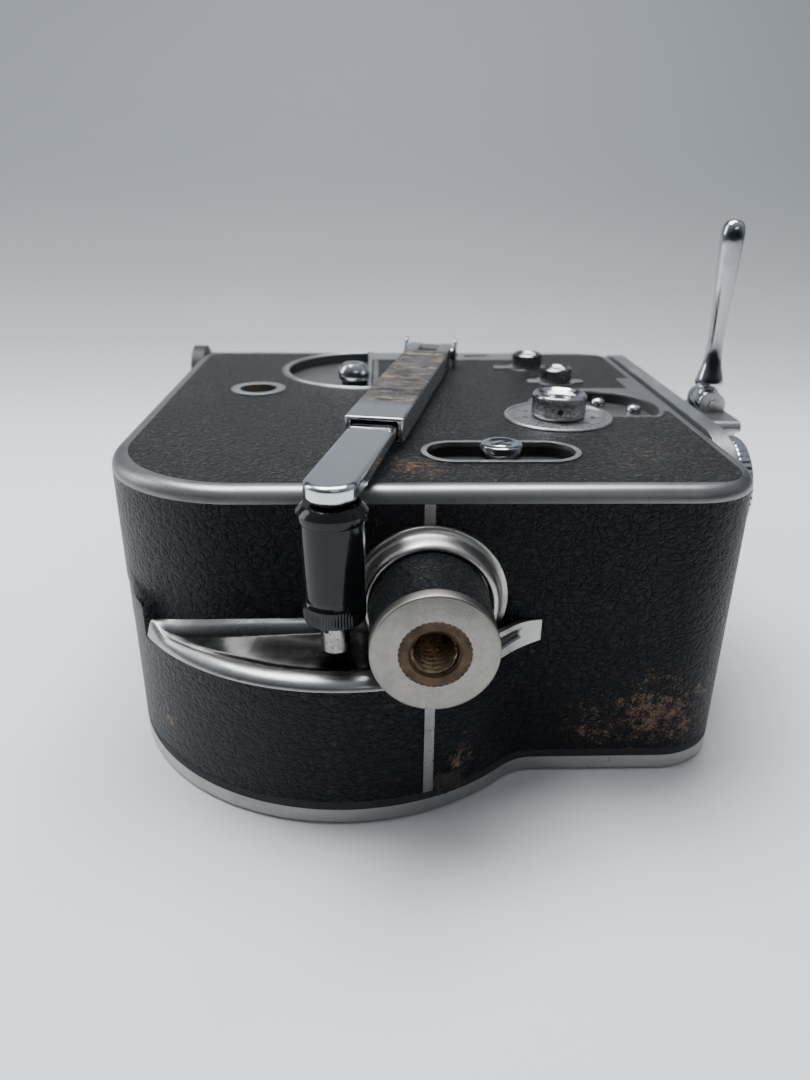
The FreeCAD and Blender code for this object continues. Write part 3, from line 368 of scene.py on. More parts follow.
def gloss_black(name, tone=(0.006, 0.007, 0.009), rough=0.10):
    s = Shader(name)
    scratch = s.noise((1400, 1400, 160), 4.0, 0.7)
    dust = s.span(s.noise(1100, 2.0, 0.6), 0.70, 0.78)
    s.main.inputs["Specular IOR Level"].default_value = 0.28
    color = s.mix(dust, tone, (0.05, 0.05, 0.045))
    return s.done(color, 0.0, s.span(scratch, 0.45, 0.8, rough, rough + 0.22),
                  s.bump(scratch, 0.006, 0.15), coat=0.08)


def dull_black(name, tone=(0.012, 0.012, 0.013), rough=0.55):
    s = Shader(name)
    grit = s.noise(1600, 4.0, 0.7)
    color = s.mix(s.span(grit, 0.55, 0.75), tone, times(tone, 3.0))
    return s.done(color, 0.0, s.span(grit, 0.3, 0.7, rough - 0.1, rough + 0.1), s.bump(grit, 0.03))


# Rubbed places: body-axes point, reach in millimetres, strength.
UNDER_PATCHES = (((53, 0, 17), 19, 0.80), ((40, 0, 14), 14, 0.55), ((66, 2, 20), 14, 0.50),
                 ((61, 0, 11), 10, 0.7), ((7, -11, 12), 7, 0.8), ((3.5, -13, 8), 5, 1.2),
                 ((-56, 3, 16), 11, 0.75), ((-50, -3, 9), 7, 0.4), ((-22, -17, 9), 13, 0.22),
                 ((-38, -13, 10), 9, 0.20), ((20, -1, 24), 8, 0.25), ((-9, -15.5, 9), 7, 0.2),
                 ((8, -9, 19), 5, 0.3))
SIDE_PATCHES = (((-3, 15, 72), 11, 0.85), ((2, 11, 72), 8, 0.7), ((50, 22, 72), 17, 0.45),
                ((58, 33, 72), 14, 0.35), ((45, 12, 72), 12, 0.40), ((60, 12, 72), 10, 0.35),
                ((16, 9, 72), 8, 0.25))


def make_materials():
    looks = {}
    for key, maker, *rest in (
            # The same leatherette in two tones: this side copy is made lighter as painted light.
            ("side_leather", leather, "side_leather_black", (0.021, 0.021, 0.0215), SIDE_PATCHES, 0.40,
             (470, 560, 470), 1.6),
            # This underside copy is made darker and bluer as painted shade.
            ("leather", leather, "leather_black", (0.0024, 0.0032, 0.0056), UNDER_PATCHES, 0.34,
             (430, 620, 620), 0.62, 0.24),
            ("strap", leather, "strap_black", (0.018, 0.014, 0.012), (((-19, 190, 24), 46, 0.30),), 0.42,
             (700, 700, 700), 0.12),
            ("bead", cover_metal, "bead_aluminium", (0.28, 0.285, 0.29), 0.36),
            ("door_rim", aluminium, "door_rim_aluminium", (0.46, 0.455, 0.445), 0.30, 0.16, 0.3,
             (60, 900, 900), 0.72),
            ("cast", aluminium, "cast_aluminium", (0.46, 0.455, 0.44), 0.23, 0.26, 0.4, (90, 700, 700), 0.73),
            # The shelf's last, near-black tone is painted shade for its dish and the tail's hollow.
            ("shelf", aluminium, "polished_shelf", (0.40, 0.40, 0.39), 0.30, 0.24, 0.3, (90, 700, 700), 0.71,
             (0.036, 0.036, 0.034)),
            ("trim", aluminium, "trim_aluminium", (0.50, 0.50, 0.49), 0.30, 0.16, 0.2),
            ("strip", aluminium, "strip_aluminium", (0.27, 0.27, 0.265), 0.32, 0.25, 0.15,
             (900, 900, 90), 0.68),
            ("satin", aluminium, "satin_aluminium", (0.40, 0.41, 0.42), 0.34, 0.12, 0.25),
            ("collar", aluminium, "collar_aluminium", (0.49, 0.48, 0.46), 0.33, 0.24, 0.2,
             (500, 500, 500), 0.70),
            ("chrome", chrome, "chrome_plate", (0.55, 0.565, 0.59)),
            ("slide", chrome, "slide_chrome", (0.70, 0.71, 0.74), 0.05, 0.5),
            ("steel", chrome, "turned_steel", (0.36, 0.355, 0.35), 0.22),
            ("old_steel", aluminium, "rubbed_steel", (0.36, 0.35, 0.33), 0.24, 0.4, 0.15,
             (1500, 1500, 200), 0.66),
            ("sleeve", worn_sleeve, "worn_plate"),
            ("face", turned_face, "turned_aluminium", (0.33, 0.315, 0.29), 2.2, 0.42),
            ("brass", tarnished_brass, "brown_brass", (0.085, 0.048, 0.020), 0.50, 0.40),
            ("thread_brass", tarnished_brass, "thread_brass", (0.42, 0.33, 0.20), 0.24, 0.9),
            ("bright_brass", tarnished_brass, "clock_brass", (0.60, 0.43, 0.18), 0.28, 0.95),
            ("plastic", gloss_black, "black_plastic"),
            # Black paint, and painted shade where the crank hub shows through the sleeve's window.
            ("black", dull_black, "black_paint"),
            ("glue", dull_black, "dried_glue", (0.045, 0.024, 0.013), 0.6),
            ("torn", leather, "torn_leather_brown", (0.012, 0.009, 0.008), (((5, -11, 7), 9, 2.2),), 0.6,
             (700, 900, 900), 0.3),
            ("knob_chrome", knob_chrome, "knurled_chrome", 0.56, 0.30),
            ("aged_chrome", knob_chrome, "aged_chrome", 0.24, 0.26),
            # Flat black for the dial marks and the door's light trap, and painted shade for small holes and
            # screw slits.
            ("void", dull_black, "dark_recess", (0.004, 0.004, 0.004), 0.7),
            ("thread", dull_black, "waxed_thread", (0.16, 0.13, 0.095), 0.6),
            ("blued", chrome, "blued_spring", (0.10, 0.11, 0.15), 0.25)):
        looks[key] = maker(*rest)
    return looks


MATERIALS = make_materials()

NODE_LOOKS = {
    "cast": "film_casing mechanism_casing",
    "bead": "side_cover",
    "satin": "front_plate speed_dial_plate control_plates counter_plate turret",
    "leather": "mechanism_leather film_leather boss_leather door_leather",
    "side_leather": "side_leather",
    "face": "tripod_boss",
    "brass": "tripod_insert",
    "collar": "boss_collar",
    "strip": "seam_strip",
    # The crank hub is black as painted shade for the dark window in the sleeve's fork.
    "black": "crank_hub focus_tube focus_eyepiece shutter",
    "chrome": "crank_hinge_pin speed_dial_knob release_slider exposure_selector counter_reset_knob "
              "clutch_lever recess_screws port_plug turret_lever front_release_button strap_lugs "
              "door_lock_1 door_lock_2",
    "sleeve": "crank_sleeve",
    "slide": "crank_slide",
    "old_steel": "crank_spindle",
    "plastic": "crank_knob",
    "trim": "release_slot_bezel motor_drive_bush",
    "steel": "turret_screw turret_lever_pin winding_shaft spring_arbor ratchet_pawl drive_spindle "
             "upper_sprocket lower_sprocket film_gate pressure_plate film_claw supply_spindle takeup_spindle",
    "strap": "carrying_strap",
    "door_rim": "film_door",
    "bright_brass": "spring_barrel great_wheel governor idler_gear",
    "blued": "mainspring",
}


def paint_nodes():
    for look, names in NODE_LOOKS.items():
        for name in names.split():
            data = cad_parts[name].data
            data.materials.clear()
            data.materials.append(MATERIALS[look])


# ---------------- mesh helpers ----------------

def link_object(name, data):
    thing = bpy.data.objects.new(name, data)
    bpy.context.scene.collection.objects.link(thing)
    return thing


def settle(mesh, sharp):
    """Smooth shading with hard edges where faces meet at more than sharp degrees."""
    work = bmesh.new()
    work.from_mesh(mesh)
    bmesh.ops.recalc_face_normals(work, faces=work.faces)
    for face in work.faces:
        face.smooth = True
    for edge in work.edges:
        if len(edge.link_faces) == 2:
            edge.smooth = edge.calc_face_angle() < math.radians(sharp)
    work.to_mesh(mesh)
    work.free()


def add_piece(name, vertices, faces, look, body, slot_name, matrix=None, sharp=35.0):
    """A mesh in millimetres, body axes unless matrix places it, riding on a CAD body."""
    mesh = bpy.data.meshes.new(name)
    mesh.from_pydata([tuple(c * MM for c in v) for v in vertices], [], faces)
    mesh.materials.append(MATERIALS[look])
    settle(mesh, sharp)
    piece = link_object(name, mesh)
    piece.matrix_world = matrix if matrix is not None else Matrix.Translation(row(0, 0, 0))
    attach(piece, body)
    return piece


def ring_faces(rings, count):
    """Faces between neighbouring closed rings of count points."""
    faces = []
    for ring in range(rings - 1):
        for index in range(count):
            a = ring * count + index
            b = ring * count + (index + 1) % count
            faces.append((a, b, b + count, a + count))
    return faces


def end_faces(rings, count):
    return [tuple(range(count)), tuple(range((rings - 1) * count, rings * count))]


def grid_faces(rows, columns):
    faces = []
    for i in range(rows - 1):
        for j in range(columns - 1):
            a = i * columns + j
            faces.append((a, a + 1, a + columns + 1, a + columns))
    return faces


def turned(profile, segments, relief=None):
    """A lathe shape about Z from (radius, height) pairs; relief(angle, radius, height) adds to the radius."""
    vertices = []
    for radius, height in profile:
        for index in range(segments):
            angle = 2 * math.pi * index / segments
            extra = relief(angle, radius, height) if relief else 0.0
            vertices.append(((radius + extra) * math.cos(angle), (radius + extra) * math.sin(angle), height))
    faces = ring_faces(len(profile), segments)
    if profile[0][0] < 0.01 or profile[0] != profile[-1]:
        faces += end_faces(len(profile), segments)
    return vertices, faces


def lathe(name, profile, segments, look, body, slot_name, matrix, sharp=35.0, relief=None):
    """A turned piece placed by matrix."""
    vertices, faces = turned(profile, segments, relief)
    return add_piece(name, vertices, faces, look, body, slot_name, matrix, sharp)


def refine(profile, step):
    """Extra rings along each straight run so relief has somewhere to go."""
    points = []
    for (r0, z0), (r1, z1) in zip(profile, profile[1:]):
        count = max(1, int(math.hypot(r1 - r0, z1 - z0) / step))
        for index in range(count):
            t = index / count
            points.append((r0 + (r1 - r0) * t, z0 + (z1 - z0) * t))
    points.append(profile[-1])
    return points


def spin(degrees, axis):
    return Matrix.Rotation(math.radians(degrees), 4, axis)


def upright(x, y, z=0.0):
    return Matrix.Translation(row(x, y, z))


def facing_front(x, y, z):
    """Lathe axis along +X."""
    return Matrix.Translation(row(x, y, z)) @ spin(90, "Y")


def facing_down(x, y, z):
    """Lathe axis along -Y, out of the underside."""
    return Matrix.Translation(row(x, y, z)) @ spin(90, "X")


def crank_matrix():
    return Matrix.Translation(row(HUB[0], HUB[1], 0)) @ spin(CRANK_ANGLE, "Z")


def knob_matrix():
    return crank_matrix() @ Matrix.Translation((CRANK_REACH * MM, 0, 0))


def prism(outline, low, high):
    vertices = [(x, y, z) for z in (low, high) for x, y in outline]
    return vertices, end_faces(2, len(outline)) + ring_faces(2, len(outline))


def side_plate(outline, y0, y1):
    """An upright plate from an (x, z) outline, between two values of y."""
    vertices, faces = prism(outline, y0, y1)
    return [(x, y, z) for x, z, y in vertices], faces


def soften(piece, width, segments=3):
    bevel = piece.modifiers.new("edges", "BEVEL")
    bevel.width = width * MM
    bevel.segments = segments
    bevel.limit_method = "ANGLE"
    bevel.angle_limit = math.radians(35)
    bevel.harden_normals = False


def arc(cx, cy, radius, start, finish, count):
    points = []
    for index in range(count + 1):
        angle = math.radians(start + (finish - start) * index / count)
        points.append((cx + radius * math.cos(angle), cy + radius * math.sin(angle)))
    return points


def knurl(teeth, depth, slant, low, high):
    """Diamond knurling between two heights."""
    def relief(angle, radius, height):
        if not low < height < high:
            return 0.0
        one = abs(math.sin(teeth * angle / 2 + slant * height))
        two = abs(math.sin(teeth * angle / 2 - slant * height))
        return -depth * (1 - min(one, two))
    return relief


def flutes(teeth, depth, low, high):
    """Straight knurling between two heights."""
    def relief(angle, radius, height):
        if not low < height < high:
            return 0.0
        return -depth * (0.5 + 0.5 * math.cos(teeth * angle))
    return relief


# ---------------- crank ----------------

def crank_knob():
    chip = random.Random(7)
    chips = [(chip.uniform(0, 2 * math.pi), chip.uniform(0.04, 0.10), chip.uniform(0.05, 0.34))
             for _ in range(15)]
    profile = [(1.7, 48.8), (5.6, 48.6), (6.25, 48.9), (6.45, 49.4), (6.45, 52.6), (6.2, 53.1), (6.0, 53.4),
               (6.0, 53.7), (6.15, 54.0), (6.6, 69.6), (6.62, 70.2), (6.95, 70.5), (7.1, 71.0), (7.1, 72.1),
               (6.1, 73.3), (5.7, 73.6), (1.7, 73.6), (1.7, 48.8)]

    def relief(angle, radius, height):
        change = 0.0
        if 49.4 <= height <= 52.4 and radius > 6.3:
            change -= 0.16 * (0.5 + 0.5 * math.cos(64 * angle))
        if height > 70.6 and radius > 5.9:
            for centre, width, depth in chips:
                gap = abs((angle - centre + math.pi) % (2 * math.pi) - math.pi)
                if gap < width:
                    change -= depth * (1 - gap / width) * (0.6 if height < 72 else 1.0)
        return max(change, -0.7)

    grip = lathe("knob_grip", refine(profile, 0.7), 256, "plastic", "crank_grip", "black_plastic",
                 knob_matrix(), 28, relief)
    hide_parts("crank_knob")


def crank_slide():
    rounded = [(SLEEVE_LENGTH - 38, -SLIDE_HALF)] + arc(CRANK_REACH, 0, SLIDE_HALF, -90, 90, 24)
    rounded.append((SLEEVE_LENGTH - 38, SLIDE_HALF))
    bar = add_piece("extension_bar", *prism(rounded, SLIDE_LOW, SLIDE_HIGH), "slide", "crank_extension",
                    "chrome", crank_matrix(), 30)
    soften(bar, 1.0, 4)
    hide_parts("crank_slide")
    neck = [(3.9, KNOB_TOP + 0.35), (4.3, KNOB_TOP + 0.5), (4.6, SLIDE_LOW + 0.3), (1.8, SLIDE_LOW + 0.3),
            (1.8, KNOB_TOP + 0.35), (3.9, KNOB_TOP + 0.35)]
    lathe("extension_neck", neck, 64, "steel", "crank_extension", "steel", knob_matrix())


def crank_spindle():
    profile = [(0.0, SPINDLE_BOTTOM), (2.5, SPINDLE_BOTTOM), (2.95, SPINDLE_BOTTOM + 0.4), (2.95, 48.1),
               (2.6, KNOB_BOTTOM - 0.15), (1.55, KNOB_BOTTOM - 0.15), (1.55, 76.0), (0.0, 76.0)]
    spindle = lathe("knob_spindle", profile, 64, "old_steel", "crank_extension", "steel", knob_matrix())
    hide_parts("crank_spindle")
    # Painted shade: a dark disc stands in for the cross hole through the spindle.
    hole = [(0.0, 2.94), (0.55, 2.94), (0.55, 3.0), (0.0, 3.0)]
    place = knob_matrix() @ Matrix.Translation(Vector((0, 0, 46.6)) * MM) @ spin(-22, "Z") @ spin(90, "Y")
    lathe("spindle_cross_hole", hole, 24, "void", "crank_extension", "steel", place)


def crank_sleeve():
    """Folded-sheet tube with a fork at the hub end."""
    wall = 0.9
    start = 16.0
    outer = [(-SLEEVE_HALF, SLEEVE_LOW), (SLEEVE_HALF, SLEEVE_LOW), (SLEEVE_HALF, SLEEVE_HIGH),
             (-SLEEVE_HALF, SLEEVE_HIGH)]
    inner = [(-SLIDE_HALF - 0.1, SLIDE_LOW - 0.1), (SLIDE_HALF + 0.1, SLIDE_LOW - 0.1),
             (SLIDE_HALF + 0.1, SLEEVE_HIGH - wall), (-SLIDE_HALF - 0.1, SLEEVE_HIGH - wall)]
    vertices = [(x, y, z) for x in (start, SLEEVE_LENGTH) for y, z in outer + inner]
    faces = []
    for index in range(4):
        after = (index + 1) % 4
        faces.append((index, after, after + 8, index + 8))
        faces.append((index + 4, after + 4, after + 12, index + 12))
        faces.append((index + 8, after + 8, after + 12, index + 12))
    faces.append((0, 1, 2, 3))
    tube = add_piece("sleeve_tube", vertices, faces, "sleeve", "crank_arm", "chrome", crank_matrix(), 30)
    soften(tube, 0.45, 3)
    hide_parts("crank_sleeve")
    side = [(start + 0.2, SLEEVE_LOW), (start + 0.2, SLEEVE_HIGH)]
    side += arc(0, CRANK_PIN_Z, 3.2, 80, 270, 16)
    for index, (y0, y1) in enumerate(((-SLEEVE_HALF, -3.0), (3.0, SLEEVE_HALF))):
        plate = side_plate(side, y0, y1)
        cheek = add_piece("fork_cheek_%d" % index, *plate, "sleeve", "crank_arm", "chrome", crank_matrix())
        soften(cheek, 0.4, 3)
    block = [(10, -3.1), (start + 0.2, -3.1), (start + 0.2, 3.1), (10, 3.1)]
    bridge = prism(block, SLEEVE_LOW + 0.4, SLEEVE_HIGH)
    soften(add_piece("fork_bridge", *bridge, "sleeve", "crank_arm", "chrome", crank_matrix()), 0.3)


def crank_hinge():
    profile = [(0.0, 6.9), (1.9, 6.9), (1.9, 7.25), (1.3, 7.6), (0.0, 7.7)]
    pin_place = crank_matrix() @ Matrix.Translation((0, 0, CRANK_PIN_Z * MM))
    for index, side in enumerate((-1, 1)):
        turn = spin(-90 * side, "X")
        lathe("hinge_pin_end_%d" % index, profile, 40, "chrome", "winder", "chrome", pin_place @ turn)


def hub_ears():
    """Two short upright ears either side of the crank's hinge."""
    outline = [(-3.0, SIDE_Z + 0.3), (3.4, SIDE_Z + 0.3), (3.0, SIDE_Z + 5.5), (1.2, SIDE_Z + 9.2),
               (-0.6, SIDE_Z + 9.6), (-2.6, SIDE_Z + 7.0)]
    for index, side in enumerate((-1, 1)):
        plate = side_plate(outline, side * 7.5, side * 8.7)
        ear = add_piece("hub_ear_%d" % index, *plate, "chrome", "winder", "chrome", crank_matrix())
        soften(ear, 0.4, 3)


# ---------------- tripod boss ----------------

def tripod_boss():
    place = facing_down(0, 0, BOSS_Z)
    face = [(7.0, BOSS_REACH - 0.05), (7.05, BOSS_REACH), (12.15, BOSS_REACH), (12.55, BOSS_REACH - 0.18),
            (12.7, BOSS_REACH - 0.6), (12.7, BOSS_REACH - 2.7), (12.1, BOSS_REACH - 2.9), (11.9, 18.0),
            (11.9, -0.8), (7.0, -0.8), (7.0, BOSS_REACH - 0.05)]
    ring = [(4.7, BOSS_REACH - 0.8), (5.25, BOSS_REACH - 0.12), (7.0, BOSS_REACH - 0.12), (7.0, 9.0),
            (5.2, 9.0), (4.7, BOSS_REACH - 0.8)]

    def serration(angle, radius, height):
        return 0.20 * (0.5 + 0.5 * math.cos(36 * angle)) if radius < 7.1 and height > 20 else 0.0

    def outer_serration(angle, radius, height):
        return 0.19 * (0.5 + 0.5 * math.cos(36 * angle)) if radius > 6.9 and height > 20 else 0.0

    boss = lathe("boss_barrel", face, 288, "face", "camera", "cast_aluminium", place, 25, serration)
    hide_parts("tripod_boss")
    insert = lathe("insert_ring", ring, 288, "brass", "camera", "brass", place, 25, outer_serration)
    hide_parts("tripod_insert")
    pitch = 25.4 / 16
    profile = refine([(4.75, BOSS_REACH - 0.75), (4.75, 10.2)], pitch / 10)

    def thread(angle, radius, height):
        turn = (height / pitch - angle / (2 * math.pi)) % 1.0
        return -0.62 * max(0.0, 1.0 - abs(turn - 0.5) * 2.6)

    vertices, faces = turned(profile, 72, thread)
    faces = faces[:-2] + [faces[-1]]
    add_piece("socket_thread", vertices, faces, "thread_brass", "camera", "brass", place, 60)


def boss_collar():
    """Polished bead round the root of the boss, above the shelf."""
    bead = [(12.75, 0.2), (12.75, 4.0), (12.9, 4.6), (13.25, 5.0), (13.7, 5.1), (14.15, 4.9), (14.5, 4.4),
            (14.8, 3.6), (15.05, 2.7), (15.35, 1.8), (15.75, 1.15), (16.3, 0.85), (16.8, 0.75), (16.95, 0.5),
            (16.95, -0.6), (12.75, -0.6)]
    segments = 80
    start, finish = -28.0, 212.0
    vertices = []
    for index in range(segments + 1):
        angle = math.radians(start + (finish - start) * index / segments)
        for radius, height in bead:
            vertices.append((radius * math.cos(angle) + 0.3, radius * math.sin(angle) - 0.3, height))
    faces = ring_faces(segments + 1, len(bead)) + end_faces(segments + 1, len(bead))
    collar = add_piece("collar_bead", vertices, faces, "collar", "camera", "bright_aluminium",
                       facing_down(0, 0, BOSS_Z), 40)
    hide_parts("boss_collar")


# ---------------- side controls ----------------

def speed_knob():
    top = SIDE_Z + 6.5
    profile = [(0.0, top - 1.9), (2.0, top - 1.75), (4.0, top - 1.2), (5.6, top - 0.35), (6.2, top),
               (6.75, top - 0.05), (7.1, top - 0.5), (7.1, SIDE_Z + 1.2), (6.8, SIDE_Z + 0.6),
               (0.0, SIDE_Z + 0.6)]
    knob = lathe("speed_knob_cap", refine(profile, 0.16), 320, "knob_chrome", "speed_knob", "chrome",
                 upright(*DIAL), 50, knurl(84, 0.22, 5.2, SIDE_Z + 1.2, top - 0.6))
    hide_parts("speed_dial_knob")
    screw = [(0.0, 6.9), (0.75, 6.9), (0.75, 7.16), (0.0, 7.16)]
    place = upright(DIAL[0], DIAL[1], SIDE_Z + 3.0) @ spin(-98, "Z") @ spin(90, "Y")
    lathe("speed_knob_set_screw", screw, 24, "void", "speed_knob", "steel", place)


def dial_ring():
    """Raised border and engraved graduations on the speed plate."""
    border = [(13.2, SIDE_Z + 0.25), (13.4, SIDE_Z + 0.62), (14.0, SIDE_Z + 0.62), (14.3, SIDE_Z + 0.3),
              (14.3, SIDE_Z - 0.2), (13.2, SIDE_Z - 0.2), (13.2, SIDE_Z + 0.25)]
    lathe("dial_border", border, 128, "trim", "camera", "bright_aluminium", upright(*DIAL))
    for index in range(25):
        angle = math.radians(150 + index * 10)
        inner = 11.3 if index % 4 else 10.4
        points = [(inner, -0.12), (12.6, -0.12), (12.6, 0.12), (inner, 0.12)]
        turn = [(x * math.cos(angle) - y * math.sin(angle), x * math.sin(angle) + y * math.cos(angle))
                for x, y in points]
        mark = prism(turn, SIDE_Z + 0.28, SIDE_Z + 0.34)
        add_piece("dial_mark_%d" % index, *mark, "void", "camera", "black_paint", upright(*DIAL))


def dial_figures():
    """Frame rates engraved between the knob and the graduations."""
    for index, words in enumerate(("8", "12", "16", "24", "32", "48", "64")):
        angle = math.radians(150 + index * 40)
        curve = bpy.data.curves.new("dial_figure_%d" % index, "FONT")
        curve.body = words
        curve.size = 2.1 * MM
        curve.extrude = 0.02 * MM
        curve.align_x = "CENTER"
        curve.align_y = "CENTER"
        curve.materials.append(MATERIALS["void"])
        figure = link_object("dial_figure_%d" % index, curve)
        spot = row(DIAL[0] + 9.0 * math.cos(angle), DIAL[1] + 9.0 * math.sin(angle), SIDE_Z + 0.33)
        figure.matrix_world = Matrix.Translation(spot) @ Matrix.Rotation(angle - math.pi / 2, 4, "Z")
        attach(figure, "camera")


def screw_slit(name, body, place, half_length, half_width, low, high):
    # Painted shade: a dark bar stands in for the slit of a screw.
    outline = [(-half_length, -half_width), (half_length, -half_width), (half_length, half_width),
               (-half_length, half_width)]
    add_piece(name, *prism(outline, low, high), "void", body, "chrome", place)


def release_parts():
    top = SIDE_Z + 2.3
    profile = [(0.0, top - 0.25), (2.7, top - 0.25), (3.2, top), (4.3, top), (4.75, top - 0.2),
               (4.95, top - 0.6), (4.95, SIDE_Z - 2.3), (4.7, SIDE_Z - 2.6), (0.0, SIDE_Z - 2.6)]
    button = lathe("release_button", profile, 96, "chrome", "release", "chrome", upright(*SLOT))
    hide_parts("release_slider")
    dome = [(0.0, top + 0.1), (1.6, top), (2.3, top - 0.15), (2.5, top - 0.3)]
    lathe("release_screw", dome, 48, "chrome", "release", "chrome", upright(*SLOT))
    place = upright(*SLOT) @ spin(35, "Z")
    # The screw's slit is a dark bar of painted shade.
    screw_slit("release_screw_slit", "release", place, 1.9, 0.22, top - 0.05, top + 0.13)


def small_knobs():
    for name, centre, radius, height, body, node in (
            ("exposure_cap", EXPOSURE, 4.8, 4.6, "exposure_knob", "exposure_selector"),
            ("reset_cap", COUNTER_RESET, 4.85, 5.0, "reset_knob", "counter_reset_knob")):
        top = SIDE_Z + height
        profile = [(0.0, top - 1.2), (2.6, top - 1.0), (3.4, top - 0.25), (3.9, top), (4.3, top - 0.05),
                   (radius, top - 0.45), (radius, SIDE_Z + 0.8), (radius - 0.3, SIDE_Z + 0.45),
                   (0.0, SIDE_Z + 0.45)]
        cap = lathe(name, refine(profile, 0.25), 200, "aged_chrome", body, "chrome", upright(*centre), 50,
                    flutes(44, 0.2, SIDE_Z + 0.9, top - 0.5))
        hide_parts(node)


def clutch_lever():
    base = SIDE_Z - 2.0
    ball = [(0.0, base), (3.8, base), (3.8, SIDE_Z + 0.4), (4.3, SIDE_Z + 0.6), (4.8, SIDE_Z + 1.5),
            (4.75, SIDE_Z + 2.6), (4.2, SIDE_Z + 3.9), (3.1, SIDE_Z + 4.8), (1.6, SIDE_Z + 5.2),
            (1.0, SIDE_Z + 5.3), (0.0, SIDE_Z + 5.3)]
    stem = [(0.0, base), (3.86, base), (3.86, SIDE_Z + 0.3), (0.0, SIDE_Z + 0.3)]
    place = upright(*CLUTCH_LEVER)
    lathe("clutch_ball", ball, 80, "aged_chrome", "clutch", "chrome", place, 50)
    lathe("clutch_stem", stem, 64, "black", "clutch", "black_paint", place)


def recess_screw_domes():
    """Two domed screws on the floor of the gear recess."""
    floor = SIDE_Z - 1.7
    profile = [(0.0, floor + 1.0), (0.8, floor + 0.95), (1.5, floor + 0.7), (2.0, floor + 0.25),
               (2.1, floor - 1.4)]
    for index, (x, y) in enumerate(((54.0, 78.0), (62.5, 70.5))):
        lathe("recess_dome_%d" % index, profile, 40, "chrome", "camera", "chrome", upright(x, y), 60)
        place = upright(x, y) @ spin(25 + 60 * index, "Z")
        # Each screw's slit is a dark bar of painted shade.
        screw_slit("recess_dome_slit_%d" % index, "camera", place, 1.5, 0.2, floor + 0.9, floor + 1.02)


def recess_borders():
    """Bright lips round the half-moon recess, the release slot and the drive hole."""
    moon = arc(CLUTCH[0], CLUTCH[1], 26.3, 88, 272, 60)
    lip_along("moon_lip", [(min(x, -12.0), y) for x, y in moon], 1.5)
    end = 10.6
    slot = arc(SLOT[0] + end, SLOT[1], 7.35, -90, 90, 24) + arc(SLOT[0] - end, SLOT[1], 7.35, 90, 270, 24)
    lip_along("slot_lip", slot, 1.3)
    lip_along("bush_lip", arc(BUSH[0], BUSH[1], 6.7, 0, 357, 72), 2.4)


def lip_along(name, path, width):
    """A low rounded bead of the given width along a closed path."""
    count = len(path)
    section = [(-0.5, -0.1), (-0.42, 0.28), (-0.2, 0.42), (0.2, 0.42), (0.42, 0.28), (0.5, -0.1)]
    rim = len(section)
    vertices = []
    faces = []
    for index, (x, y) in enumerate(path):
        x0, y0 = path[index - 1]
        x1, y1 = path[(index + 1) % count]
        length = math.hypot(x1 - x0, y1 - y0)
        nx, ny = (y1 - y0) / length, -(x1 - x0) / length
        for side, height in section:
            vertices.append((x + nx * side * width, y + ny * side * width, SIDE_Z + height - 0.1))
        here = index * rim
        after = (index + 1) % count * rim
        for corner in range(rim - 1):
            faces.append((here + corner, here + corner + 1, after + corner + 1, after + corner))
    add_piece(name, vertices, faces, "trim", "camera", "bright_aluminium", None, 60)


# ---------------- front ----------------

def turret_lever():
    z0 = LEVER[2]
    club = [(0.0, 0.6), (2.85, 0.6), (2.85, 3.0), (2.6, 3.3), (3.2, 3.6), (3.85, 4.6), (3.9, 5.4), (3.4, 7.2),
            (2.75, 9.5), (2.3, 12.5), (2.05, 17.0), (2.15, 23.0), (2.45, 30.0), (2.8, 37.0), (3.05, 42.0),
            (3.1, 44.6), (2.8, 46.4), (2.1, 47.5), (1.1, 47.95), (0.0, 48.0)]
    club = [(radius, z0 + height) for radius, height in club]
    drum = [(0.0, -3.6), (3.2, -3.6), (3.4, -3.3), (3.4, 3.3), (3.2, 3.6), (0.0, 3.6)]
    lever = lathe("lever_club", club, 64, "chrome", "turret_handle", "chrome",
                  upright(LEVER[0], LEVER[1]), 60)
    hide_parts("turret_lever")
    lathe("lever_knuckle", drum, 48, "chrome", "turret_handle", "chrome", facing_down(*LEVER))


def port_plug():
    angle = math.radians(150)
    y = TURRET[0] + PORT_CIRCLE * math.cos(angle)
    z = TURRET[1] + PORT_CIRCLE * math.sin(angle)
    profile = [(0.0, 0.4), (12.2, 0.4), (12.6, 0.6), (12.6, 3.4), (13.1, 3.6), (13.4, 4.0), (13.4, 6.3),
               (13.0, 6.9), (11.4, 7.0), (10.8, 6.4), (10.2, 6.1), (0.0, 6.0)]
    plug = lathe("plug_cap", refine(profile, 0.4), 288, "chrome", "lens_turret", "chrome",
                 facing_front(78, y, z), 45, flutes(48, 0.42, 4.0, 6.5))
    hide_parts("port_plug")


# ---------------- castings ----------------

def ease(value, low, high):
    t = max(0.0, min(1.0, (value - low) / (high - low)))
    return t * t * (3 - 2 * t)


def belly_line(x, inset):
    """Y of the underside at x for the film half, set in from the leather face."""
    radius = LOBE_RADIUS - inset
    fillet = HOLLOW_RADIUS + inset
    centre_y = inset - fillet
    centre_x = LOBE[0] + math.sqrt((radius + fillet) ** 2 - (LOBE[1] - centre_y) ** 2)
    meet_x = LOBE[0] + (centre_x - LOBE[0]) * radius / (radius + fillet)
    if x <= meet_x:
        return LOBE[1] - math.sqrt(radius ** 2 - (x - LOBE[0]) ** 2)
    if x < centre_x:
        return centre_y + math.sqrt(fillet ** 2 - (x - centre_x) ** 2)
    return inset


def lobe_point(angle, radius):
    """A point about the lobe's centre; angle 0 is straight down, positive towards the lens."""
    return LOBE[0] + math.sin(angle) * radius, LOBE[1] - math.cos(angle) * radius


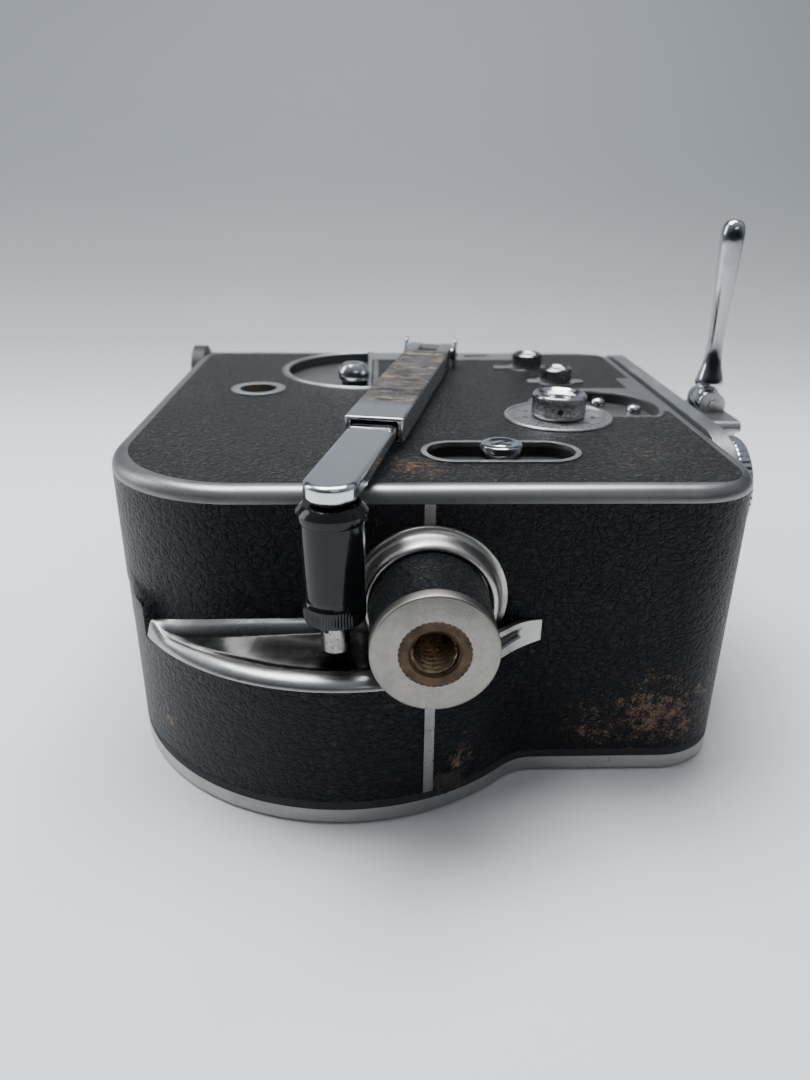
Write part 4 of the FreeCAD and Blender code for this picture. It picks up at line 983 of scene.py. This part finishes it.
def wall_distance(x, y):
    """How far a shelf point lies in front of the narrower mechanism half."""
    if x < REAR_CORNER[0] and y < REAR_CORNER[1]:
        return math.hypot(x - REAR_CORNER[0], y - REAR_CORNER[1]) - REAR_RADIUS
    return -y


def reach_to_wall(angle, limit, step):
    """How far in from the lobe's face the mechanism half's wall stands, at most about limit."""
    reach = 0.0
    while reach < limit and wall_distance(*lobe_point(angle, LOBE_FACE - reach)) > -0.3:
        reach += step
    return reach


def skin(name, vertices, rows, columns, look, slot_name, sharp):
    """A grid of points as a thin skin on the camera's own body."""
    return add_piece(name, vertices, grid_faces(rows, columns), look, "camera", slot_name, None, sharp)


def mark_sunk(piece, values):
    """Tell the shelf metal which points lie in a hollow, where it paints shade."""
    shade = piece.data.attributes.new("sunk", "FLOAT", "POINT")
    shade.data.foreach_set("value", values)


def ledge_height(x, y):
    """Height of the plain cast ledge under the dished skin."""
    radius = math.hypot(x - LOBE[0], y - LOBE[1])
    if radius < LEDGE_RADIUS:
        height = SHELF_EDGE + 1.7 + 0.26 * (LEDGE_RADIUS - radius)
    else:
        height = SHELF_EDGE + 1.7 * math.sqrt(max(0.0, 1 - ((radius - LEDGE_RADIUS) / 3.2) ** 2))
    return min(height, 39.2 - 0.26 * max(0.0, -y), 39.2 - 0.57 * max(0.0, y))


def shelf_casting():
    """Polished ledge: flat margin, dish falling outward, thin crest and rolled outer edge."""
    columns = 72
    rows = 120
    first = math.radians(-54.8)
    last = math.radians(36.5)
    vertices = []
    sunk = []
    for i in range(rows):
        angle = first + (last - first) * (i / (rows - 1)) ** 1.15
        reach = reach_to_wall(angle, 26, 0.05)
        tip = (angle - first) * 54.0
        roll = min(4.0, 0.6 + 0.25 * reach)
        crest = SHELF_CREST + 2.0 * (1 - ease(tip, 0.0, 8.0))
        margin = min(0.9, 0.2 * reach)
        back_z = SHELF_TOP + 0.9 - 0.57 * max(0.0, lobe_point(angle, SHELF_FACE - reach)[1])
        for j in range(columns):
            share = j / (columns - 1)
            inward = reach * (0.35 * share + 0.65 * share * share)
            x, y = lobe_point(angle, SHELF_FACE - inward)
            back = max(0.0, wall_distance(x, y))
            rise = max(0.0, (inward - roll) / (reach - roll))
            plane = crest + (back_z - crest) * rise
            across = min(1.0, inward / roll)
            height = SHELF_EDGE - 0.1 + (plane - SHELF_EDGE + 0.1) * math.sqrt(1 - (1 - across) ** 2)
            dish = min((inward - roll + 0.5) / 1.8, (back - margin) / 1.6, (tip - 4.2) / 2.5)
            depth = 0.55 + 0.75 * ease(inward - roll, 0.0, 8.0)
            height = max(height - depth * ease(dish, 0.0, 1.0), ledge_height(x, y) + 0.08)
            if tip < 0.9:
                height = SHELF_EDGE + 0.6 + (height - SHELF_EDGE - 0.6) * math.sqrt(ease(tip, 0.0, 0.9))
            vertices.append((x, y, height))
            # Points in the dish get painted shade from the shelf metal.
            sunk.append(ease(dish, 0.2, 0.9))
    shelf = skin("shelf_casting", vertices, rows, columns, "shelf", "cast_aluminium", 60)
    mark_sunk(shelf, sunk)


def shelf_tail():
    """The shelf runs out to the right of the boss in a flat bordered tail round a small hollow."""
    columns = 40
    rows = 60
    start = 11.0
    length = 14.5
    vertices = []
    sunk = []
    fill = []
    for i in range(rows):
        x = start + length * i / (rows - 1)
        low = SHELF_EDGE + 1.9 * ((x - start) / length) ** 3
        for j in range(columns):
            z = low + (SHELF_TOP - low) * j / (columns - 1)
            gap = min(SHELF_TOP - 1.5 - z, z - low - 1.6 - 0.10 * (x - start), (21.0 - x) * 0.7)
            inset = 0.74 * ease(gap, 0.0, 1.1) - 0.06
            # Points in the tail's hollow get painted shade from the shelf metal.
            sunk.append(ease(gap, 0.2, 0.9))
            if j in (0, columns - 1) or i == rows - 1:
                inset = 0.9
            vertices.append((x, belly_line(x, inset), z))
        for j in range(6):
            z = SHELF_EDGE - 0.3 + (low - SHELF_EDGE + 0.3) * j / 5
            fill.append((x, belly_line(x, 0.0), z))
    tail = skin("shelf_tail", vertices, rows, columns, "shelf", "cast_aluminium", 70)
    mark_sunk(tail, sunk)
    skin("tail_leather", fill, rows, 6, "leather", "black_leather", 60)


def door_gap():
    """Dark gap above the door rim, round the lobe, along the belly and up the front corner."""
    path = [lobe_point(math.radians(-90 + 127 * i / 59), GAP_FACE) for i in range(60)]
    path = [point for point in path if point[0] < 12]
    path += [(12 + 44.2 * i / 50, belly_line(12 + 44.2 * i / 50, -0.02)) for i in range(51)]
    path += arc(56.2, 16.8, 16.82, -88, 0, 20)
    vertices = [(x, y, z) for x, y in path for z in (4.25, 6.35)]
    skin("door_gap", vertices, len(path), 2, "void", "black_paint", 60)


def strip_glue():
    """Dried glue along both sides of the metal strip."""
    for index, side in enumerate((-1, 1)):
        vertices = []
        for i in range(12):
            z = 63.2 + 5.8 * i / 11
            vertices.append((side * 1.08, -0.05, z))
            vertices.append((side * (1.3 + 0.1 * math.sin(i * 2.1)), -0.05, z))
        skin("strip_glue_%d" % index, vertices, 12, 2, "glue", "black_paint", 60)


def leather_shoulder():
    """Leather carried from the wider film half up on to the mechanism half, down to the shelf's tip."""
    rows, columns = 140, 16
    vertices = []
    for i in range(rows):
        angle = math.radians(-90 + 36.6 * i / (rows - 1))
        reach = reach_to_wall(angle, 6, 0.02)
        close = ease(math.degrees(angle), -82.0, -54.8)
        wrap = ease(math.degrees(angle), -56.3, -54.0)
        lip = 40.9 - 1.2 * wrap
        top = 64.0 - 20.0 * close
        vertices.append((*lobe_point(angle, SHOULDER_FACE), 33.8))
        for j in range(columns - 1):
            t = j / (columns - 2)
            radius = SHOULDER_FACE - reach * max(ease(t, 0.0, 1.0), wrap)
            vertices.append((*lobe_point(angle, radius), lip + (top - lip) * t))
    skin("leather_shoulder", vertices, rows, columns, "leather", "black_leather", 70)


def torn_edge():
    """Leather lifted and torn at its lower corner beside the strip."""
    rows, columns = 14, 10
    vertices = []
    for i in range(rows):
        x = 1.6 + 6.0 * i / (rows - 1)
        ragged = 0.45 * math.sin(i * 1.9) + 0.3 * math.sin(i * 4.3 + 1.0)
        for j in range(columns):
            z = 5.2 + 5.0 * j / (columns - 1)
            loose = 1 - j / (columns - 1)
            drop = (ragged - 0.5) * loose
            lift = 0.16 + 0.42 * loose ** 2 * (0.6 + 0.4 * math.sin(i * 1.3))
            vertices.append((x, belly_line(x, 0.0) - lift, z + drop))
    flap = skin("torn_leather", vertices, rows, columns, "torn", "black_leather", 70)
    thick = flap.modifiers.new("thickness", "SOLIDIFY")
    thick.thickness = 0.25 * MM


# ---------------- carrying strap ----------------

def strap_point(angle, lift, across):
    """A point on the arched strap: angle from the top, lift off its middle, height across its width."""
    radius = 57.05 + lift + 0.25 * math.sin(angle * 9.0) * math.cos(angle * 2.3)
    radius += 0.14 * math.sin(across * 0.5 + angle * 3.0)
    x = STRAP_CENTRE[0] + radius * math.sin(angle)
    y = STRAP_CENTRE[1] + radius * math.cos(angle)
    return x, y, 24.0 + across


def carrying_strap():
    """Padded leather strap with rounded edges and a groove for each row of stitching."""
    section = []
    for index in range(40):
        turn = 2 * math.pi * index / 40
        wide = math.copysign(abs(math.cos(turn)) ** 0.35, math.cos(turn)) * 7.9
        thick = math.copysign(abs(math.sin(turn)) ** 0.7, math.sin(turn)) * 1.15
        groove = 0.18 * math.exp(-((abs(wide) - 6.4) / 0.5) ** 2) if thick > 0.3 else 0.0
        section.append((thick - groove, wide))
    rows = 120
    vertices = []
    for i in range(rows):
        angle = -STRAP_LIMIT + 2 * STRAP_LIMIT * i / (rows - 1)
        taper = 1.0 - 0.16 * (abs(angle) / STRAP_LIMIT) ** 6
        for thick, wide in section:
            vertices.append(strap_point(angle, thick, wide * taper))
    faces = ring_faces(rows, len(section)) + end_faces(rows, len(section))
    strap = add_piece("strap_leather", vertices, faces, "strap", "camera", "strap_leather", None, 60)
    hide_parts("carrying_strap")


def strap_stitches():
    """Two rows of raised stitches along the strap."""
    limit = STRAP_LIMIT * 0.93
    vertices = []
    faces = []
    for row_side in (-6.4, 6.4):
        for i in range(40):
            angle = -limit + 2 * limit * i / 39
            first = len(vertices)
            for step in (-0.012, -0.006, 0.006, 0.012):
                bulge = 0.22 if abs(step) < 0.01 else 0.0
                for side in (-0.22, 0.22):
                    vertices.append(strap_point(angle + step, 0.92 + bulge, row_side + side))
            faces += [tuple(first + corner for corner in face) for face in grid_faces(4, 2)]
    add_piece("strap_stitches", vertices, faces, "thread", "camera", "strap_leather", None, 80)


# ---------------- stage, light and camera ----------------

def cloth_look():
    """Pale woven cloth with painted fold shading, and painted shade darker towards the back."""
    s = Shader("pale_cloth")
    weave = s.noise(1400, 3.0, 0.6)
    fold_shading = s.noise((5, 2.2, 3), 2.0, 0.4)
    # Painted fold shading: soft lighter and darker bands stand in for the cloth's creases.
    color = s.mix(s.span(fold_shading, 0.3, 0.7), (0.79, 0.795, 0.80), (0.85, 0.855, 0.86))
    # Painted shade: the cloth darkens towards the back.
    shade = s.span(s.axis(1), 0.16, 0.70, 0.0, 0.95)
    color = s.mix(shade, color, (0.17, 0.185, 0.20))
    return s.done(color, 0.0, 0.8, s.bump(weave, 0.05))


def cloth_stage():
    """The pale cloth the camera lies on; it stays under the door when the door is lifted off."""
    floor_z = row(0, 0, 0).z
    rows = 40
    columns = 24
    vertices = []
    for index in range(rows + 1):
        y = -1.6 + 3.0 * index / rows
        rise = 1.5 * (max(0.0, y - 0.42) / 0.98) ** 1.8
        for column in range(columns + 1):
            vertices.append((-2.4 + 4.8 * column / columns, y, floor_z + rise))
    mesh = bpy.data.meshes.new("cloth")
    mesh.from_pydata(vertices, [], grid_faces(rows + 1, columns + 1))
    for face in mesh.polygons:
        face.use_smooth = True
    mesh.materials.append(cloth_look())
    cloth = link_object("cloth", mesh)
    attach(cloth, "door")


def soft_light(name, spot, target, size, power, tint=(1, 1, 1)):
    data = bpy.data.lights.new(name, "AREA")
    data.shape = "RECTANGLE"
    data.size = size[0]
    data.size_y = size[1]
    data.energy = power
    data.color = tint
    lamp = link_object(name, data)
    lamp.location = spot
    lamp.rotation_euler = (Vector(target) - Vector(spot)).to_track_quat("-Z", "Y").to_euler()


def room_light():
    """A room that is dark in front of the camera and brighter above and behind it."""
    world = bpy.data.worlds.new("room")
    bpy.context.scene.world = world
    world.use_nodes = True
    tree = world.node_tree
    place = add_node(tree, "TexCoord", {}).outputs["Generated"]
    parts = add_node(tree, "SeparateXYZ", {0: place}).outputs
    mixed = add_node(tree, "Math", {0: parts[1], 1: 0.75, 2: parts[2]}, operation="MULTIPLY_ADD").outputs[0]
    values = {"Value": mixed, "From Min": -0.55, "From Max": 1.0, "To Min": ROOM_DARK, "To Max": ROOM_BRIGHT}
    ramp = add_node(tree, "MapRange", values, interpolation_type="SMOOTHSTEP").outputs[0]
    background = tree.nodes["Background"]
    background.inputs["Color"].default_value = (0.84, 0.90, 1.0, 1.0)
    fill(tree, ramp, background.inputs["Strength"])


def light_scene():
    room_light()
    soft_light("overhead", (-0.10, 0.30, 0.95), (0, 0.05, 0), (0.9, 0.5), OVERHEAD_POWER, (0.96, 0.98, 1.0))
    soft_light("window", (-0.95, 0.35, 0.45), (0, 0.05, 0), (0.35, 0.7), WINDOW_POWER, (0.92, 0.96, 1.0))
    soft_light("front_strip", (0.25, -0.75, 0.60), (0, 0, 0), (0.5, 0.10), FRONT_POWER)


def photo_camera():
    data = bpy.data.cameras.new("viewer")
    data.sensor_width = 36.0
    data.lens = PHOTO_LENS
    data.clip_start = 0.005
    data.dof.use_dof = True
    data.dof.focus_distance = PHOTO_FOCUS
    data.dof.aperture_fstop = PHOTO_STOP
    camera = link_object("viewer", data)
    pitch, yaw, roll = (math.radians(a) for a in PHOTO_ANGLES)
    forward = Vector((math.sin(yaw) * math.cos(pitch), math.cos(yaw) * math.cos(pitch), -math.sin(pitch)))
    right = Vector((math.cos(yaw), -math.sin(yaw), 0))
    up = right.cross(forward)
    side = right * math.cos(roll) + up * math.sin(roll)
    top = up * math.cos(roll) - right * math.sin(roll)
    turn = Matrix((side, top, -forward)).transposed().to_4x4()
    camera.matrix_world = Matrix.Translation(row(*PHOTO_SPOT)) @ turn
    bpy.context.scene.camera = camera


for build in (paint_nodes, crank_knob, crank_slide, crank_spindle, crank_sleeve, crank_hinge, tripod_boss,
              boss_collar, speed_knob, dial_ring, dial_figures, release_parts, small_knobs, clutch_lever,
              recess_borders, turret_lever, port_plug, shelf_casting, shelf_tail, door_gap, strip_glue,
              torn_edge, leather_shoulder, recess_screw_domes, hub_ears, carrying_strap, strap_stitches,
              cloth_stage, light_scene, photo_camera):
    build()
